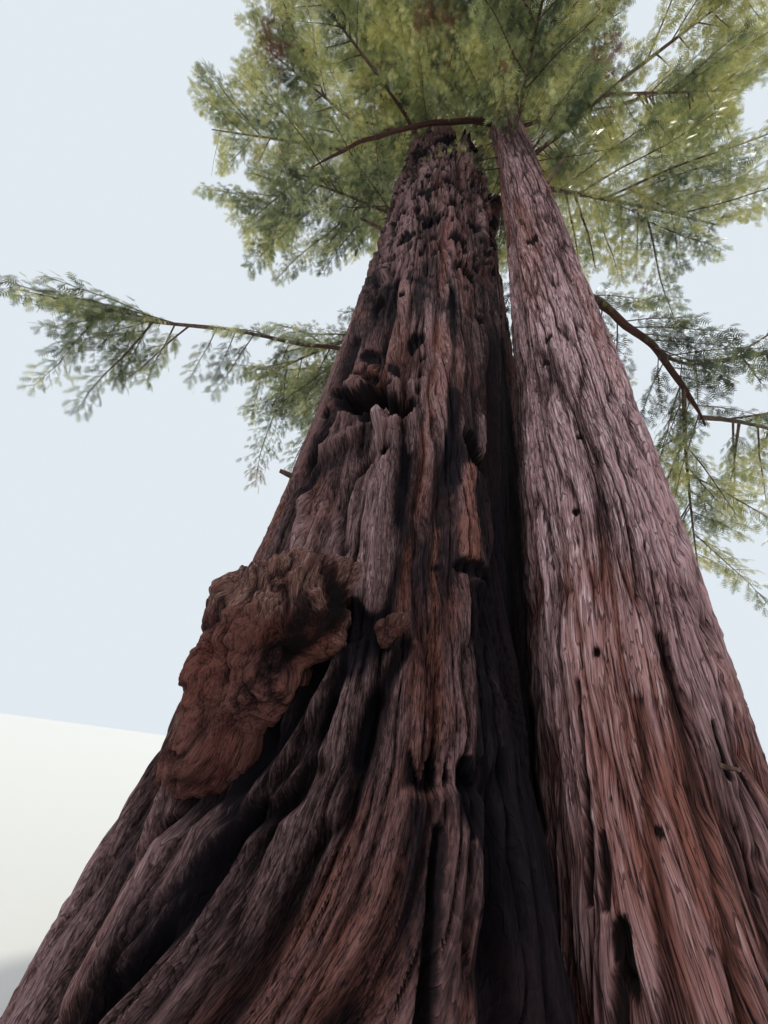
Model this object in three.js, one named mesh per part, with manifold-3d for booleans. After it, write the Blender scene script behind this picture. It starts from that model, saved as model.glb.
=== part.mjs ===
// A coast redwood: an old burled trunk with a broken shoulder and a regrown leader,
// and the young stem that rises beside it from the same root.
// Millimetres, +Z up. The origin is the middle of the old trunk's flat cut at the ground.
// Headings are in degrees from +X towards +Y, and -Y is the tree's front.

import * as THREE from "three";
import { mergeVertices } from "three/addons/utils/BufferGeometryUtils.js";
import Module from "manifold-3d";

const wasm = await Module();
wasm.setup();

// What touches on the real tree stands this far apart here
const SEAT = 0.3;
const UP = new THREE.Vector3(0, 0, 1);

// Old trunk: its radius and taper, the flare at the root, and a slight lean to the right
const BOLE_RADIUS = 1600;
const BOLE_TAPER = 0.035;
const FLARE = 420;
const FLARE_HEIGHT = 2800;
const BOLE_LEAN = 90;
const BOLE_LEAN_HEIGHT = 11000;
const BOLE_AROUND = 40;
const BOLE_LEVELS = 13;
const BOLE_LEVEL_SPREAD = 1.35;

// Buttress folds of the old trunk: how many go round, how proud they stand, and their turn
const FOLDS = [
  { count: 3, proud: 60, turn: 0.6 },
  { count: 7, proud: 85, turn: 2.1 },
  { count: 12, proud: 60, turn: 0.4 },
];
const FOLD_FADE = 5500;
const FOLD_LEFT = 0.3;
const FOLD_TWIST = 0.00005;

// Broken shoulder of the old trunk: its height, how ragged its rim is, and the bowl inside
const SHOULDER_HEIGHT = 15500;
const SHOULDER_RAGGED = 650;
const SHOULDER_BOWL = 500;
const RAG = [
  { count: 2, share: 0.4, turn: Math.PI / 2 },
  { count: 5, share: 0.5, turn: 1.2 },
  { count: 11, share: 0.35, turn: 0 },
];

// Burnt hollows in the old trunk: heading and height of the middle, width, height and depth
const HOLLOWS = [
  { turn: -112, height: 4650, wide: 560, tall: 420, deep: 330 },
  { turn: -73, height: 4150, wide: 330, tall: 420, deep: 260 },
  { turn: -75, height: 7950, wide: 260, tall: 420, deep: 260 },
  { turn: -86, height: 750, wide: 140, tall: 1150, deep: 300 },
  { turn: 118, height: 1500, wide: 460, tall: 1900, deep: 420 },
];

// Leader that regrew from the broken shoulder and leans back over to the left
const LEADER_FOOT = 13600;
const LEADER_TOP = 37900;
const LEADER_RADIUS = 960;
const LEADER_TIP_RADIUS = 45;
const LEADER_TAPER_BULGE = 1.15;
const LEADER_LEAN = -1250;
const LEADER_LEAN_HEIGHT = 12000;
const LEADER_BACK = 260;
const LEADER_BACK_BY = 0.125;
const LEADER_SIDES = 12;
const LEADER_STEPS = 8;

// Young stem: where it stands, its radius and taper, the swell of its foot and its root flare
const YOUNG_X = 1700;
const YOUNG_Y = -1070;
const YOUNG_RADIUS = 580;
const YOUNG_TAPER = 0.0125;
const YOUNG_SWELL = 140;
const YOUNG_SWELL_HEIGHT = 6000;
const YOUNG_FLARE = 380;
const YOUNG_FLARE_HEIGHT = 330;
const YOUNG_TOP = 34600;
const YOUNG_CROWN_FOOT = 20000;
const YOUNG_TIP_RADIUS = 35;
const YOUNG_BOW = 60;
const YOUNG_BOW_HEIGHT = 12000;
const YOUNG_LEAN = -240;
const YOUNG_AROUND = 22;
const YOUNG_LEVELS = 16;
const YOUNG_LEVEL_SPREAD = 1.6;

// Toes of the young stem's root flare, and the lobes that run up it and turn with height
const TOES = { count: 5, share: 0.25 };
const LOBES = [
  { count: 4, share: 0.045, pitch: 2600 },
  { count: 7, share: 0.03, pitch: Infinity },
];

// The old trunk's face is hollowed out so far round the young stem
const CLEFT_GAP = 250;

// Swollen wood on the old trunk, in lumps: heading and height, then half-sizes out of the
// trunk, across it and up it; droop tilts a lump to one side
const LUMP_AROUND = 10;
const LUMP_LEVELS = 7;
const LUMP_BULGES = 4;
const LUMP_ROUGHNESS = 0.16;
const BURL = [
  { turn: -123, height: 2230, out: 500, across: 480, tall: 440, droop: 0.12 },
  { turn: -116, height: 2420, out: 430, across: 380, tall: 290, droop: 0.18 },
  { turn: -126, height: 1720, out: 430, across: 280, tall: 520, droop: 0 },
];
const SMALL_BURL = [{ turn: -94, height: 2230, out: 110, across: 125, tall: 140, droop: 0 }];
const SNAPPED_LIMB = [
  { turn: -12, height: 12400, out: 300, across: 330, tall: 900, droop: 0 },
  { turn: -16, height: 13000, out: 420, across: 240, tall: 300, droop: 0 },
];

// Boughs: what each grows on and where, its heading, reach and rise, its radius at the root,
// how far its middle bows to the left of its heading, and how far it sags
const BOUGH_TIP = 0.45;
const BOUGH_SIDES = 5;
const BOUGH_STEPS = 6;
const BOUGHS = [
  bough("low_right_bough", "young_stem", 8400, 18, 2800, -2000, 85, { bow: -300 }),
  bough("low_right_side_bough", "low_right_bough", 0.62, 12, 850, 150, 34),
  bough("crossing_bough", "young_stem", 16500, 168, 5300, -1500, 92, { bow: 380 }),
  bough("crossing_side_bough", "crossing_bough", 0.55, 184, 1300, 150, 38),
  bough("rising_right_bough", "young_stem", 13200, -34, 2450, 1600, 70, { sag: 60 }),
  bough("upper_right_bough", "young_stem", 16000, -15, 2700, 100, 60, { sag: -120 }),
  bough("lone_left_bough", "old_trunk", 7200, -177, 3700, -50, 55, { bow: -60, sag: -120 }),
  bough("back_left_bough", "old_trunk", 10300, 128, 2900, 250, 75, { sag: -150 }),
  bough("back_right_bough", "young_stem", 10800, 62, 2300, -350, 70, { sag: -150 }),
  bough("leader_left_bough", "leader", 17500, -138, 2700, 200, 85, { sag: -150 }),
];

// Masses of foliage that grow on the boughs, or low on the old trunk and its leader: what
// carries each and where, the heading, reach and rise of its stem, and how far that sags
const MASSES = [
  mass("low_right_foliage", "low_right_bough", 0.96, 6, 2500, -150, -200),
  mass("hanging_foliage", "low_right_bough", 0.8, 66, 1700, -2200, -200),
  mass("low_right_side_foliage", "low_right_side_bough", 0.93, -14, 2400, 350),
  mass("crossing_foliage", "crossing_bough", 0.97, 146, 2400, -700),
  mass("crossing_side_foliage", "crossing_side_bough", 0.94, 204, 2600, 400),
  mass("crossing_end_foliage", "crossing_bough", 0.8, 180, 3700, 100),
  mass("rising_right_foliage", "rising_right_bough", 0.96, -36, 2900, 900),
  mass("rising_side_foliage", "rising_right_bough", 0.8, -6, 2900, 300),
  mass("upper_right_foliage", "upper_right_bough", 0.96, -18, 2700, 200),
  mass("lone_left_foliage", "lone_left_bough", 0.96, 186, 2000, -450),
  mass("back_left_foliage", "back_left_bough", 0.96, 130, 2900, -300),
  mass("back_right_foliage", "back_right_bough", 0.96, 66, 2900, -400),
  mass("leader_left_foliage", "leader_left_bough", 0.96, -142, 3000, -300),
  mass("old_left_low_foliage", "old_trunk", 8700, 160, 3500, -1100, -250),
  mass("old_left_mid_foliage", "old_trunk", 12000, -168, 3600, 100, -150),
  mass("leader_front_foliage", "leader", 23200, -146, 4300, 400, -200),
];

// The two crowns above: the heights of their lowest and highest masses, how far those reach,
// and the side of the stem that they are dealt round
const CROWNS = [
  { name: "leader_crown", on: "leader", heights: [17900, 36300], reaches: [4600, 1700] },
  { name: "young_crown", on: "young_stem", heights: [12200, 33300], reaches: [4200, 1500] },
];
const CROWN_DEAL = {
  leader_crown: { count: 11, away: 155, spread: 265 },
  young_crown: { count: 10, away: -28, spread: 250 },
};
const CROWN_RISES = [-300, 400];
const CROWN_SAG = -220;
const GOLDEN = 0.618034;
const TOP_REACH = 1500;
const TOP_SUNK = 80;

// A mass's stem: its radius at the root, which grows with its reach, and its share at the tip;
// then how much of it the spray on its end takes
const STEM_RADIUS = 14;
const STEM_RADIUS_BY_REACH = 0.011;
const STEM_TIP = 0.25;
const STEM_STEPS = 4;
const STEM_SPRAY = 0.35;
const TOP_SPRAY = 0.6;
const TOP_SPRAY_TURN = 0.4;

// Twigs of a mass: how many, and where along its stem the first and the last one leave it
const TWIGS = 4;
const TWIG_START = 0.3;
const TWIG_STRETCH = 0.52;
const TWIG_RADIUS = 0.7;
const TWIG_LENGTH = 0.273;
const TWIG_SHORTENING = 0.6;
const TWIG_THINNING = 0.6;
const TOP_TWIG_TURN = 2.4;
const TRIES = [1, 0.75, 0.55];

// What the seeded rule draws for a twig, from low to high
const DRAWN_SHIFT = [-0.25, 0.25];
const DRAWN_TOP_SHIFT = [0, 0.4];
const DRAWN_LEAN = [0.75, 1.05];
const DRAWN_RISE = [-1, -0.2];
const DRAWN_TOP_RISE = [-0.4, 0.3];
const DRAWN_ROLL = [-0.5, 0.5];
const DRAWN_LENGTH = [0.85, 1.15];
const DRAWN_SPRAY = [0.85, 1.1];
const DRAWN_SIDE_TURN = [0.7, 1];
const DRAWN_SIDE_PLACE = [0.35, 0.6];
const DRAWN_SIDE_SPRAY = [0.7, 0.85];

// Sprays: toothed blades of needles, smaller on a mass of short reach
const SPRAY_LENGTH = 1950;
const SPRAY_WIDTH = 0.42;
const SPRAY_THICKNESS = 0.016;
const SPRAY_FULL_REACH = 3600;
const SPRAY_LEAST = 0.12;

// Teeth of a spray on each side, at these shares of its length and half-width
const TEETH = [
  [0.34, 1],
  [0.5, 0.5],
  [0.74, 0.85],
  [1, 0],
];
const FEW_TEETH = [
  [0.4, 1],
  [0.7, 0.6],
  [1, 0],
];

// Room that a spray leaves to the next mass's space, to a limb and to its neighbours
const SPACE_MARGIN = 110;
const LIMB_MARGIN = 70;
const FOLD_MARGIN = 90;
const SPRAY_MARGIN = 20;

const degrees = THREE.MathUtils.degToRad;
const lerp = THREE.MathUtils.lerp;
const CLEFT_HEADING = Math.atan2(YOUNG_Y, YOUNG_X);
const CLEFT_REACH = Math.hypot(YOUNG_X, YOUNG_Y);

// A bough or a mass grows on a stem at a height in millimetres, or on a bough at a share of it.
function bough(name, on, at, turn, reach, rise, radius, { bow = 0, sag = 0 } = {}) {
  return { name, on, at, turn, reach, rise, radius, bow, sag };
}

function mass(name, on, at, turn, reach, rise, sag = 0) {
  return { name, on, at, turn, reach, rise, bow: 0, sag, upright: false };
}

// A seeded row of numbers between low and high, the same on every run.
function dice(seed) {
  let state = seed >>> 0;
  return ([low, high]) => {
    state = (Math.imul(state, 1664525) + 1013904223) >>> 0;
    return lerp(low, high, state / 2 ** 32);
  };
}

function heading(angle, length = 1) {
  return new THREE.Vector3(Math.cos(angle) * length, Math.sin(angle) * length, 0);
}

function levelSide(along) {
  return new THREE.Vector3().crossVectors(UP, along).normalize();
}

const total = (numbers) => numbers.reduce((sum, number) => sum + number, 0);

// Solids

// Merges a closed geometry's shared vertices, moves each by place(point), and makes it a solid.
function solidOf(geometry, place) {
  geometry.deleteAttribute("normal");
  geometry.deleteAttribute("uv");
  const merged = mergeVertices(geometry);
  const position = merged.getAttribute("position");
  const point = new THREE.Vector3();
  for (let i = 0; i < position.count; i += 1) {
    const moved = place(point.fromBufferAttribute(position, i));
    position.setXYZ(i, moved.x, moved.y, moved.z);
  }
  return new wasm.Manifold(
    new wasm.Mesh({
      numProp: 3,
      vertProperties: position.array,
      triVerts: new Uint32Array(merged.index.array),
    }),
  );
}

// An upright drum whose rows and columns place(turn, rise, share) puts in space: share is 0 at
// the middle of an end and 1 on the wall. A pointed drum ends in a single point.
function drum(around, levels, place, pointed = false) {
  const geometry = new THREE.CylinderGeometry(pointed ? 0 : 1, 1, 1, around, levels);
  geometry.rotateX(Math.PI / 2);
  return solidOf(geometry, (point) => {
    const onWall = Math.hypot(point.x, point.y) > 0.001;
    const turn = onWall ? Math.atan2(point.y, point.x) : 0;
    return place(turn, point.z + 0.5, onWall ? 1 : 0);
  });
}

// A ball at a heading on the old trunk's face. shape(out, side, up) turns the unit ball's point
// into millimetres out of the trunk, across it and up it.
function ballOnTrunk({ turn, height }, wall, around, levels, shape) {
  const out = heading(degrees(turn));
  const side = levelSide(out);
  const middle = heading(degrees(turn), wall).setZ(height);
  return solidOf(new THREE.SphereGeometry(1, around, levels), (point) => {
    const [outward, across, upward] = shape(point.x, -point.z, point.y);
    return middle
      .clone()
      .addScaledVector(out, outward)
      .addScaledVector(side, across)
      .addScaledVector(UP, upward);
  });
}

// The largest body of a cut or joined solid: scraps and sealed hollows go.
function largest(solid) {
  return solid.decompose().reduce((best, body) => (body.volume() > best.volume() ? body : best));
}

// Limbs: a curve with a radius along it

class Limb {
  constructor(curve, radiusAt, sides, steps) {
    this.curve = curve;
    this.radiusAt = radiusAt;
    this.sides = sides;
    this.steps = steps;
    this.frames = curve.computeFrenetFrames(steps, false);
    this.points = curve.getSpacedPoints(steps);
  }

  solid(grow = 0) {
    return drum(this.sides, this.steps, (turn, rise, share) => {
      const row = Math.round(rise * this.steps);
      const reach = (this.radiusAt(rise) + grow) * share;
      return this.points[row]
        .clone()
        .addScaledVector(this.frames.normals[row], Math.cos(turn) * reach)
        .addScaledVector(this.frames.binormals[row], Math.sin(turn) * reach)
        .addScaledVector(this.frames.tangents[row], row === this.steps ? grow : 0);
    });
  }

  // How far a point is from the limb's surface
  clearance(point) {
    const line = new THREE.Line3();
    const foot = new THREE.Vector3();
    let nearest = Infinity;
    for (let row = 0; row < this.steps; row += 1) {
      line.set(this.points[row], this.points[row + 1]);
      const along = line.closestPointToPointParameter(point, true);
      line.at(along, foot);
      const radius = this.radiusAt((row + along) / this.steps);
      nearest = Math.min(nearest, foot.distanceTo(point) - radius);
    }
    return nearest;
  }
}

const tapering = (foot, tip) => (t) => lerp(foot, tip, t);

// Stems

function boleRadius(z) {
  return BOLE_RADIUS - BOLE_TAPER * z + FLARE * Math.exp(-z / FLARE_HEIGHT);
}

function boleAxis(z) {
  return new THREE.Vector3(BOLE_LEAN * Math.min(1, z / BOLE_LEAN_HEIGHT), 0, z);
}

function boleFolds(angle, z) {
  const fade = FOLD_LEFT + (1 - FOLD_LEFT) * Math.exp(-z / FOLD_FADE);
  const turned = angle + FOLD_TWIST * z;
  const folds = FOLDS.map(({ count, proud, turn }) => proud * Math.cos(count * turned + turn));
  return fade * total(folds);
}

function youngRadius(z) {
  const swell = YOUNG_SWELL * Math.exp(-((z / YOUNG_SWELL_HEIGHT) ** 2));
  const stem = YOUNG_RADIUS - YOUNG_TAPER * Math.min(z, YOUNG_CROWN_FOOT) + swell;
  const crown = Math.max(0, (z - YOUNG_CROWN_FOOT) / (YOUNG_TOP - YOUNG_CROWN_FOOT));
  return lerp(stem, YOUNG_TIP_RADIUS, crown);
}

function youngAxis(z) {
  const bow = YOUNG_BOW * Math.sin(Math.PI * Math.min(1, z / YOUNG_BOW_HEIGHT));
  const lean = YOUNG_LEAN * THREE.MathUtils.smoothstep(z, YOUNG_CROWN_FOOT / 2, YOUNG_CROWN_FOOT);
  return new THREE.Vector3(YOUNG_X + bow + lean, YOUNG_Y, z);
}

// How far the old trunk may reach at this angle before it comes too near the young stem
function cleftReach(angle, z) {
  const across = Math.sin(angle - CLEFT_HEADING) * CLEFT_REACH;
  const along = Math.cos(angle - CLEFT_HEADING) * CLEFT_REACH;
  const room = youngRadius(z) + CLEFT_GAP;
  if (along < 0 || Math.abs(across) > room) {
    return Infinity;
  }
  return along - Math.sqrt(room ** 2 - across ** 2);
}

function boleWall(angle, z) {
  return Math.min(boleRadius(z) + boleFolds(angle, z), cleftReach(angle, z));
}

function shoulderHeight(angle) {
  const rag = RAG.map(({ count, share, turn }) => share * Math.sin(count * angle + turn));
  return SHOULDER_HEIGHT + SHOULDER_RAGGED * total(rag);
}

function bole(grow) {
  return drum(BOLE_AROUND, BOLE_LEVELS, (turn, rise, share) => {
    const top = share ? shoulderHeight(turn) : SHOULDER_HEIGHT - SHOULDER_BOWL;
    const z = top * rise ** BOLE_LEVEL_SPREAD;
    return heading(turn, (boleWall(turn, z) + grow) * share)
      .add(boleAxis(z))
      .addScaledVector(UP, rise === 1 ? grow : 0);
  });
}

class LeaderLine extends THREE.Curve {
  getPoint(t, target = new THREE.Vector3()) {
    const risen = (LEADER_TOP - LEADER_FOOT) * t;
    const lean = LEADER_LEAN * (1 - Math.exp(-risen / LEADER_LEAN_HEIGHT));
    const back = LEADER_BACK * Math.min(1, t / LEADER_BACK_BY);
    return target.set(BOLE_LEAN + lean, back, LEADER_FOOT + risen);
  }
}

class YoungLine extends THREE.Curve {
  getPoint(t, target = new THREE.Vector3()) {
    return target.copy(youngAxis(YOUNG_TOP * t));
  }
}

const leader = new Limb(
  new LeaderLine(),
  (t) => lerp(LEADER_RADIUS, LEADER_TIP_RADIUS, t ** LEADER_TAPER_BULGE),
  LEADER_SIDES,
  LEADER_STEPS,
);

const young = new Limb(
  new YoungLine(),
  (t) => youngRadius(t * YOUNG_TOP),
  YOUNG_AROUND,
  YOUNG_LEVELS,
);

function hollow(row) {
  const wall = boleWall(degrees(row.turn), row.height);
  return ballOnTrunk(row, wall, 8, 5, (out, side, up) => [
    out * row.deep,
    (side * row.wide) / 2,
    (up * row.tall) / 2,
  ]);
}

function oldTrunk(grow = 0) {
  const whole = bole(grow).add(leader.solid(grow));
  return largest(HOLLOWS.reduce((solid, row) => solid.subtract(hollow(row)), whole));
}

function youngStem(grow = 0) {
  return drum(YOUNG_AROUND, YOUNG_LEVELS, (turn, rise, share) => {
    const z = YOUNG_TOP * rise ** YOUNG_LEVEL_SPREAD;
    const lobes = LOBES.map((lobe) => lobe.share * Math.cos(lobe.count * turn + z / lobe.pitch));
    const toes = 1 + TOES.share * Math.cos(TOES.count * turn);
    const flare = YOUNG_FLARE * Math.exp(-z / YOUNG_FLARE_HEIGHT) * toes;
    return heading(turn, (youngRadius(z) * (1 + total(lobes)) + flare + grow) * share)
      .add(youngAxis(z))
      .addScaledVector(UP, rise === 1 ? grow : 0);
  });
}

const grownOld = oldTrunk(SEAT);
const grownYoung = youngStem(SEAT);

// Swollen wood: lumps with seeded bulges, joined and cut clear of the trunk that bears them

function lump(row, seed) {
  const roll = dice(seed);
  const draw = () => [roll([1.5, 4]), roll([1.5, 4]), roll([0, 2 * Math.PI])];
  const bulges = Array.from({ length: LUMP_BULGES }, draw);
  return ballOnTrunk(row, boleRadius(row.height), LUMP_AROUND, LUMP_LEVELS, (out, side, up) => {
    const bulge = total(bulges.map(([a, b, turn]) => Math.sin(out * a + up * b + turn)));
    const size = 1 + (LUMP_ROUGHNESS * bulge) / LUMP_BULGES;
    return [
      out * row.out * size,
      side * row.across * size,
      up * row.tall * size + side * row.droop * row.across,
    ];
  });
}

function swelling(lumps, seed) {
  const joined = lumps.map((row, i) => lump(row, seed + i)).reduce((a, b) => a.add(b));
  return largest(joined.subtract(grownOld));
}

// Boughs and the stems of the masses

function limbCurve(root, { turn, reach, rise, bow, sag }) {
  const out = heading(degrees(turn), reach);
  const tip = root.clone().add(out).addScaledVector(UP, rise);
  const bend = root
    .clone()
    .lerp(tip, 0.5)
    .addScaledVector(levelSide(out), bow * 2)
    .addScaledVector(UP, -sag * 2);
  return new THREE.QuadraticBezierCurve3(root, bend, tip);
}

// What a limb can grow on: the points of its axis, and its solid grown by the seat's gap
const carriers = {
  old_trunk: { axis: boleAxis, grown: grownOld },
  leader: {
    axis: (z) => leader.curve.getPoint((z - LEADER_FOOT) / (LEADER_TOP - LEADER_FOOT)),
    grown: grownOld,
  },
  young_stem: { axis: youngAxis, grown: grownYoung },
};

const boughs = BOUGHS.map((row) => {
  const curve = limbCurve(carriers[row.on].axis(row.at), row);
  const radiusAt = tapering(row.radius, row.radius * BOUGH_TIP);
  const limb = new Limb(curve, radiusAt, BOUGH_SIDES, BOUGH_STEPS);
  carriers[row.name] = { axis: (t) => curve.getPointAt(t), grown: limb.solid(SEAT) };
  return { ...row, limb };
});

// A crown's masses from foot to top, and the upright one that continues its stem
function crownMasses({ name, on, heights, reaches }) {
  const { count, away, spread } = CROWN_DEAL[name];
  const rows = Array.from({ length: count }, (_, i) => {
    const level = i / (count - 1);
    const turn = away + ((((i + 1) * GOLDEN) % 1) - 0.5) * spread;
    const height = lerp(...heights, level);
    const reach = lerp(...reaches, level);
    return mass(`${name}_${i + 1}`, on, height, turn, reach, lerp(...CROWN_RISES, level), CROWN_SAG);
  });
  const tip = on === "leader" ? LEADER_TOP : YOUNG_TOP;
  return [...rows, { ...mass(`${name}_top`, on, tip, 0, TOP_REACH, 0), upright: true }];
}

function stemLimb(row) {
  const root = carriers[row.on].axis(row.at);
  if (row.upright) {
    const foot = root.clone().addScaledVector(UP, -TOP_SUNK);
    const curve = straight(foot, UP, TOP_SUNK + row.reach);
    return new Limb(curve, tapering(STEM_RADIUS * 2, STEM_RADIUS), 3, STEM_STEPS);
  }
  const radius = STEM_RADIUS + STEM_RADIUS_BY_REACH * row.reach;
  return new Limb(limbCurve(root, row), tapering(radius, radius * STEM_TIP), 3, STEM_STEPS);
}

function straight(foot, along, length) {
  return new THREE.LineCurve3(foot, foot.clone().addScaledVector(along, length));
}

const masses = [...MASSES, ...CROWNS.flatMap(crownMasses)].map((row) => ({
  ...row,
  stem: stemLimb(row),
}));

// Foliage

const boleLimb = new Limb(
  new THREE.LineCurve3(boleAxis(0), boleAxis(SHOULDER_HEIGHT + SHOULDER_RAGGED)),
  (t) => boleRadius(t * SHOULDER_HEIGHT) + FOLD_MARGIN,
  BOLE_AROUND,
  BOLE_LEVELS,
);
const limbs = [boleLimb, leader, young, ...boughs.map((row) => row.limb)];

// A point is in a mass's own space when that mass's stem is the nearest and no limb is close.
function inOwnSpace(owner, point) {
  const own = owner.stem.clearance(point) + SPACE_MARGIN;
  const crowded = masses.some((other) => other !== owner && other.stem.clearance(point) < own);
  return !crowded && limbs.every((limb) => limb.clearance(point) > LIMB_MARGIN);
}

// A twig, or a mass's whole stem, that ends in a spray: it runs along the curve and tapers,
// then flattens into the toothed blade.
class LeafyTwig {
  constructor(curve, side, radius, bareRows, sprayLength, teeth) {
    this.curve = curve;
    this.side = side;
    const bare = Math.max(0, 1 - sprayLength / curve.getLength());
    const width = (sprayLength * SPRAY_WIDTH) / 2;
    const thickness = (sprayLength * SPRAY_THICKNESS) / 2;
    this.rows = [[0, radius, radius]];
    for (let row = 1; row <= bareRows; row += 1) {
      const size = radius * (1 - TWIG_THINNING * (row / bareRows));
      this.rows.push([(bare * row) / bareRows, size, size]);
    }
    for (const [along, across] of teeth) {
      const thick = thickness * Math.min(1, across * 1.3);
      this.rows.push([lerp(bare, 1, along), width * across, thick]);
    }
    this.widest = [lerp(bare, 1, teeth[0][0]), width];
  }

  at(t, across, raised) {
    const ahead = this.curve.getTangentAt(t);
    const wide = this.side.clone().addScaledVector(ahead, -this.side.dot(ahead)).normalize();
    const face = new THREE.Vector3().crossVectors(ahead, wide);
    return this.curve.getPointAt(t).addScaledVector(wide, across).addScaledVector(face, raised);
  }

  // The points that have to lie in the mass's own space
  outline() {
    return this.rows.slice(1).flatMap(([t, wide]) => [this.at(t, wide, 0), this.at(t, -wide, 0)]);
  }

  // How far a point is from the spray, taken as a rod as thick as half the blade's width
  clearance(point) {
    const [t, wide] = this.widest;
    const rib = new THREE.Line3(this.at(t, 0, 0), this.at(1, 0, 0));
    return rib.closestPointToPoint(point, true, new THREE.Vector3()).distanceTo(point) - wide / 2;
  }

  solid() {
    const last = this.rows.length - 1;
    const place = (turn, rise, share) => {
      const [t, wide, thick] = this.rows[Math.round(rise * last)];
      return this.at(t, Math.cos(turn) * wide * share, Math.sin(turn) * thick * share);
    };
    return drum(3, last, place, true);
  }
}

// A mass's stem with its spray, then its twigs: they leave the stem on both sides by turns, each
// ends in a spray, and a shorter spray stands beside it. What would leave the mass's own space,
// touch a limb or crowd a neighbour is made shorter, and else skipped.
function massTwigs(owner, seed) {
  const { stem, reach, upright } = owner;
  const roll = dice(seed);
  const size = SPRAY_LENGTH * Math.min(1, reach / SPRAY_FULL_REACH + SPRAY_LEAST);
  const side = upright ? heading(TOP_SPRAY_TURN) : levelSide(stem.curve.getTangentAt(0.5));
  const end = upright ? reach * TOP_SPRAY : Math.min(SPRAY_LENGTH, reach * STEM_SPRAY);
  const kept = [new LeafyTwig(stem.curve, side, stem.radiusAt(0), STEM_STEPS - 1, end, TEETH)];

  const keep = (twig) => {
    const points = twig.outline();
    const clear =
      points.every((point) => inOwnSpace(owner, point)) &&
      points.every((point) => kept.every((other) => other.clearance(point) > SPRAY_MARGIN));
    if (clear) {
      kept.push(twig);
    }
    return clear;
  };

  const count = upright ? TWIGS - 1 : TWIGS;
  for (let i = 0; i < count; i += 1) {
    const t = TWIG_START + (TWIG_STRETCH * (i + roll(DRAWN_SHIFT))) / (count - 1);
    const from = stem.curve.getPointAt(t);
    const ahead = stem.curve.getTangentAt(t);
    const hand = upright || i % 2 === 0 ? 1 : -1;
    const flat = upright ? heading(i * TOP_TWIG_TURN + roll(DRAWN_TOP_SHIFT)) : levelSide(ahead);
    const lean = roll(DRAWN_LEAN);
    const along = ahead
      .clone()
      .multiplyScalar(Math.cos(lean))
      .addScaledVector(flat, hand * Math.sin(lean))
      .addScaledVector(UP, roll(upright ? DRAWN_TOP_RISE : DRAWN_RISE))
      .normalize();
    const rolled = levelSide(along).applyAxisAngle(along, roll(DRAWN_ROLL));
    const radius = stem.radiusAt(t) * TWIG_RADIUS;
    const bare = reach * TWIG_LENGTH * (1 - TWIG_SHORTENING * t) * roll(DRAWN_LENGTH);
    const spray = size * roll(DRAWN_SPRAY);
    const made = TRIES.find((share) => {
      const line = straight(from, along, (bare + spray) * share);
      return keep(new LeafyTwig(line, rolled, radius, 1, spray * share, TEETH));
    });
    const beside = along.clone().applyAxisAngle(UP, -hand * roll(DRAWN_SIDE_TURN));
    const foot = from.clone().addScaledVector(along, bare * roll(DRAWN_SIDE_PLACE));
    const shorter = size * roll(DRAWN_SIDE_SPRAY);
    if (made === 1 && !upright && i < count - 1) {
      const line = straight(foot, beside, shorter);
      keep(new LeafyTwig(line, levelSide(beside), radius / 2, 0, shorter, FEW_TEETH));
    }
  }
  return kept;
}

function massSolid(owner, seed) {
  const twigs = massTwigs(owner, seed).map((twig) => twig.solid());
  const joined = twigs.reduce((a, b) => a.add(b));
  return largest(joined.subtract(carriers[owner.on].grown));
}

// The tree

function finish(color, roughness) {
  return () => new THREE.MeshStandardMaterial({ color, roughness, metalness: 0 });
}

const oldBark = finish(0x4a2f26, 0.95);
const youngBark = finish(0x6e4a3f, 0.92);
const burlBark = finish(0x5a3327, 0.93);
const boughBark = finish(0x5b3d30, 0.9);
const needles = finish(0x4d7034, 0.8);

// A named mesh whose geometry is kept near its own place on the tree.
function piece(name, solid, place, material) {
  const mesh = solid.translate([-place.x, -place.y, -place.z]).getMesh();
  const geometry = new THREE.BufferGeometry();
  geometry.setAttribute("position", new THREE.BufferAttribute(mesh.vertProperties, 3));
  geometry.setIndex(new THREE.BufferAttribute(mesh.triVerts, 1));
  geometry.computeVertexNormals();
  const result = new THREE.Mesh(geometry, material);
  result.name = name;
  result.position.copy(place);
  return result;
}

const stemPieces = [
  piece("old_trunk", oldTrunk(), boleAxis(0), oldBark()),
  piece("young_stem", largest(youngStem().subtract(grownOld)), youngAxis(0), youngBark()),
  piece("burl", swelling(BURL, 11), boleAxis(0), burlBark()),
  piece("small_burl", swelling(SMALL_BURL, 31), boleAxis(0), burlBark()),
  piece("snapped_limb", swelling(SNAPPED_LIMB, 23), boleAxis(0), oldBark()),
];

const boughPieces = boughs.map(({ name, on, limb }) => {
  const solid = largest(limb.solid().subtract(carriers[on].grown));
  return piece(name, solid, limb.points[0], boughBark());
});

const massPieces = masses.map((owner, i) => {
  const solid = massSolid(owner, 7 + i * 97);
  return piece(owner.name, solid, owner.stem.points[0], needles());
});

const tree = new THREE.Group();
tree.add(new THREE.Group().add(...stemPieces));
tree.add(new THREE.Group().add(...boughPieces));
tree.add(new THREE.Group().add(...massPieces));

export default tree;
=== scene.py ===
# %% [markdown]
# # A coast redwood in Blender
# An old, burnt trunk with a broken shoulder and a burl, and a younger stem that rises beside it
# from the same root. The solid model gives every size and place. This script puts bark with real
# relief on the stems and grows the boughs out into twigs and needles.

# %% The solid model as a fixed frame
import math

import bpy
import numpy as np
from mathutils import Matrix, Vector


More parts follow.
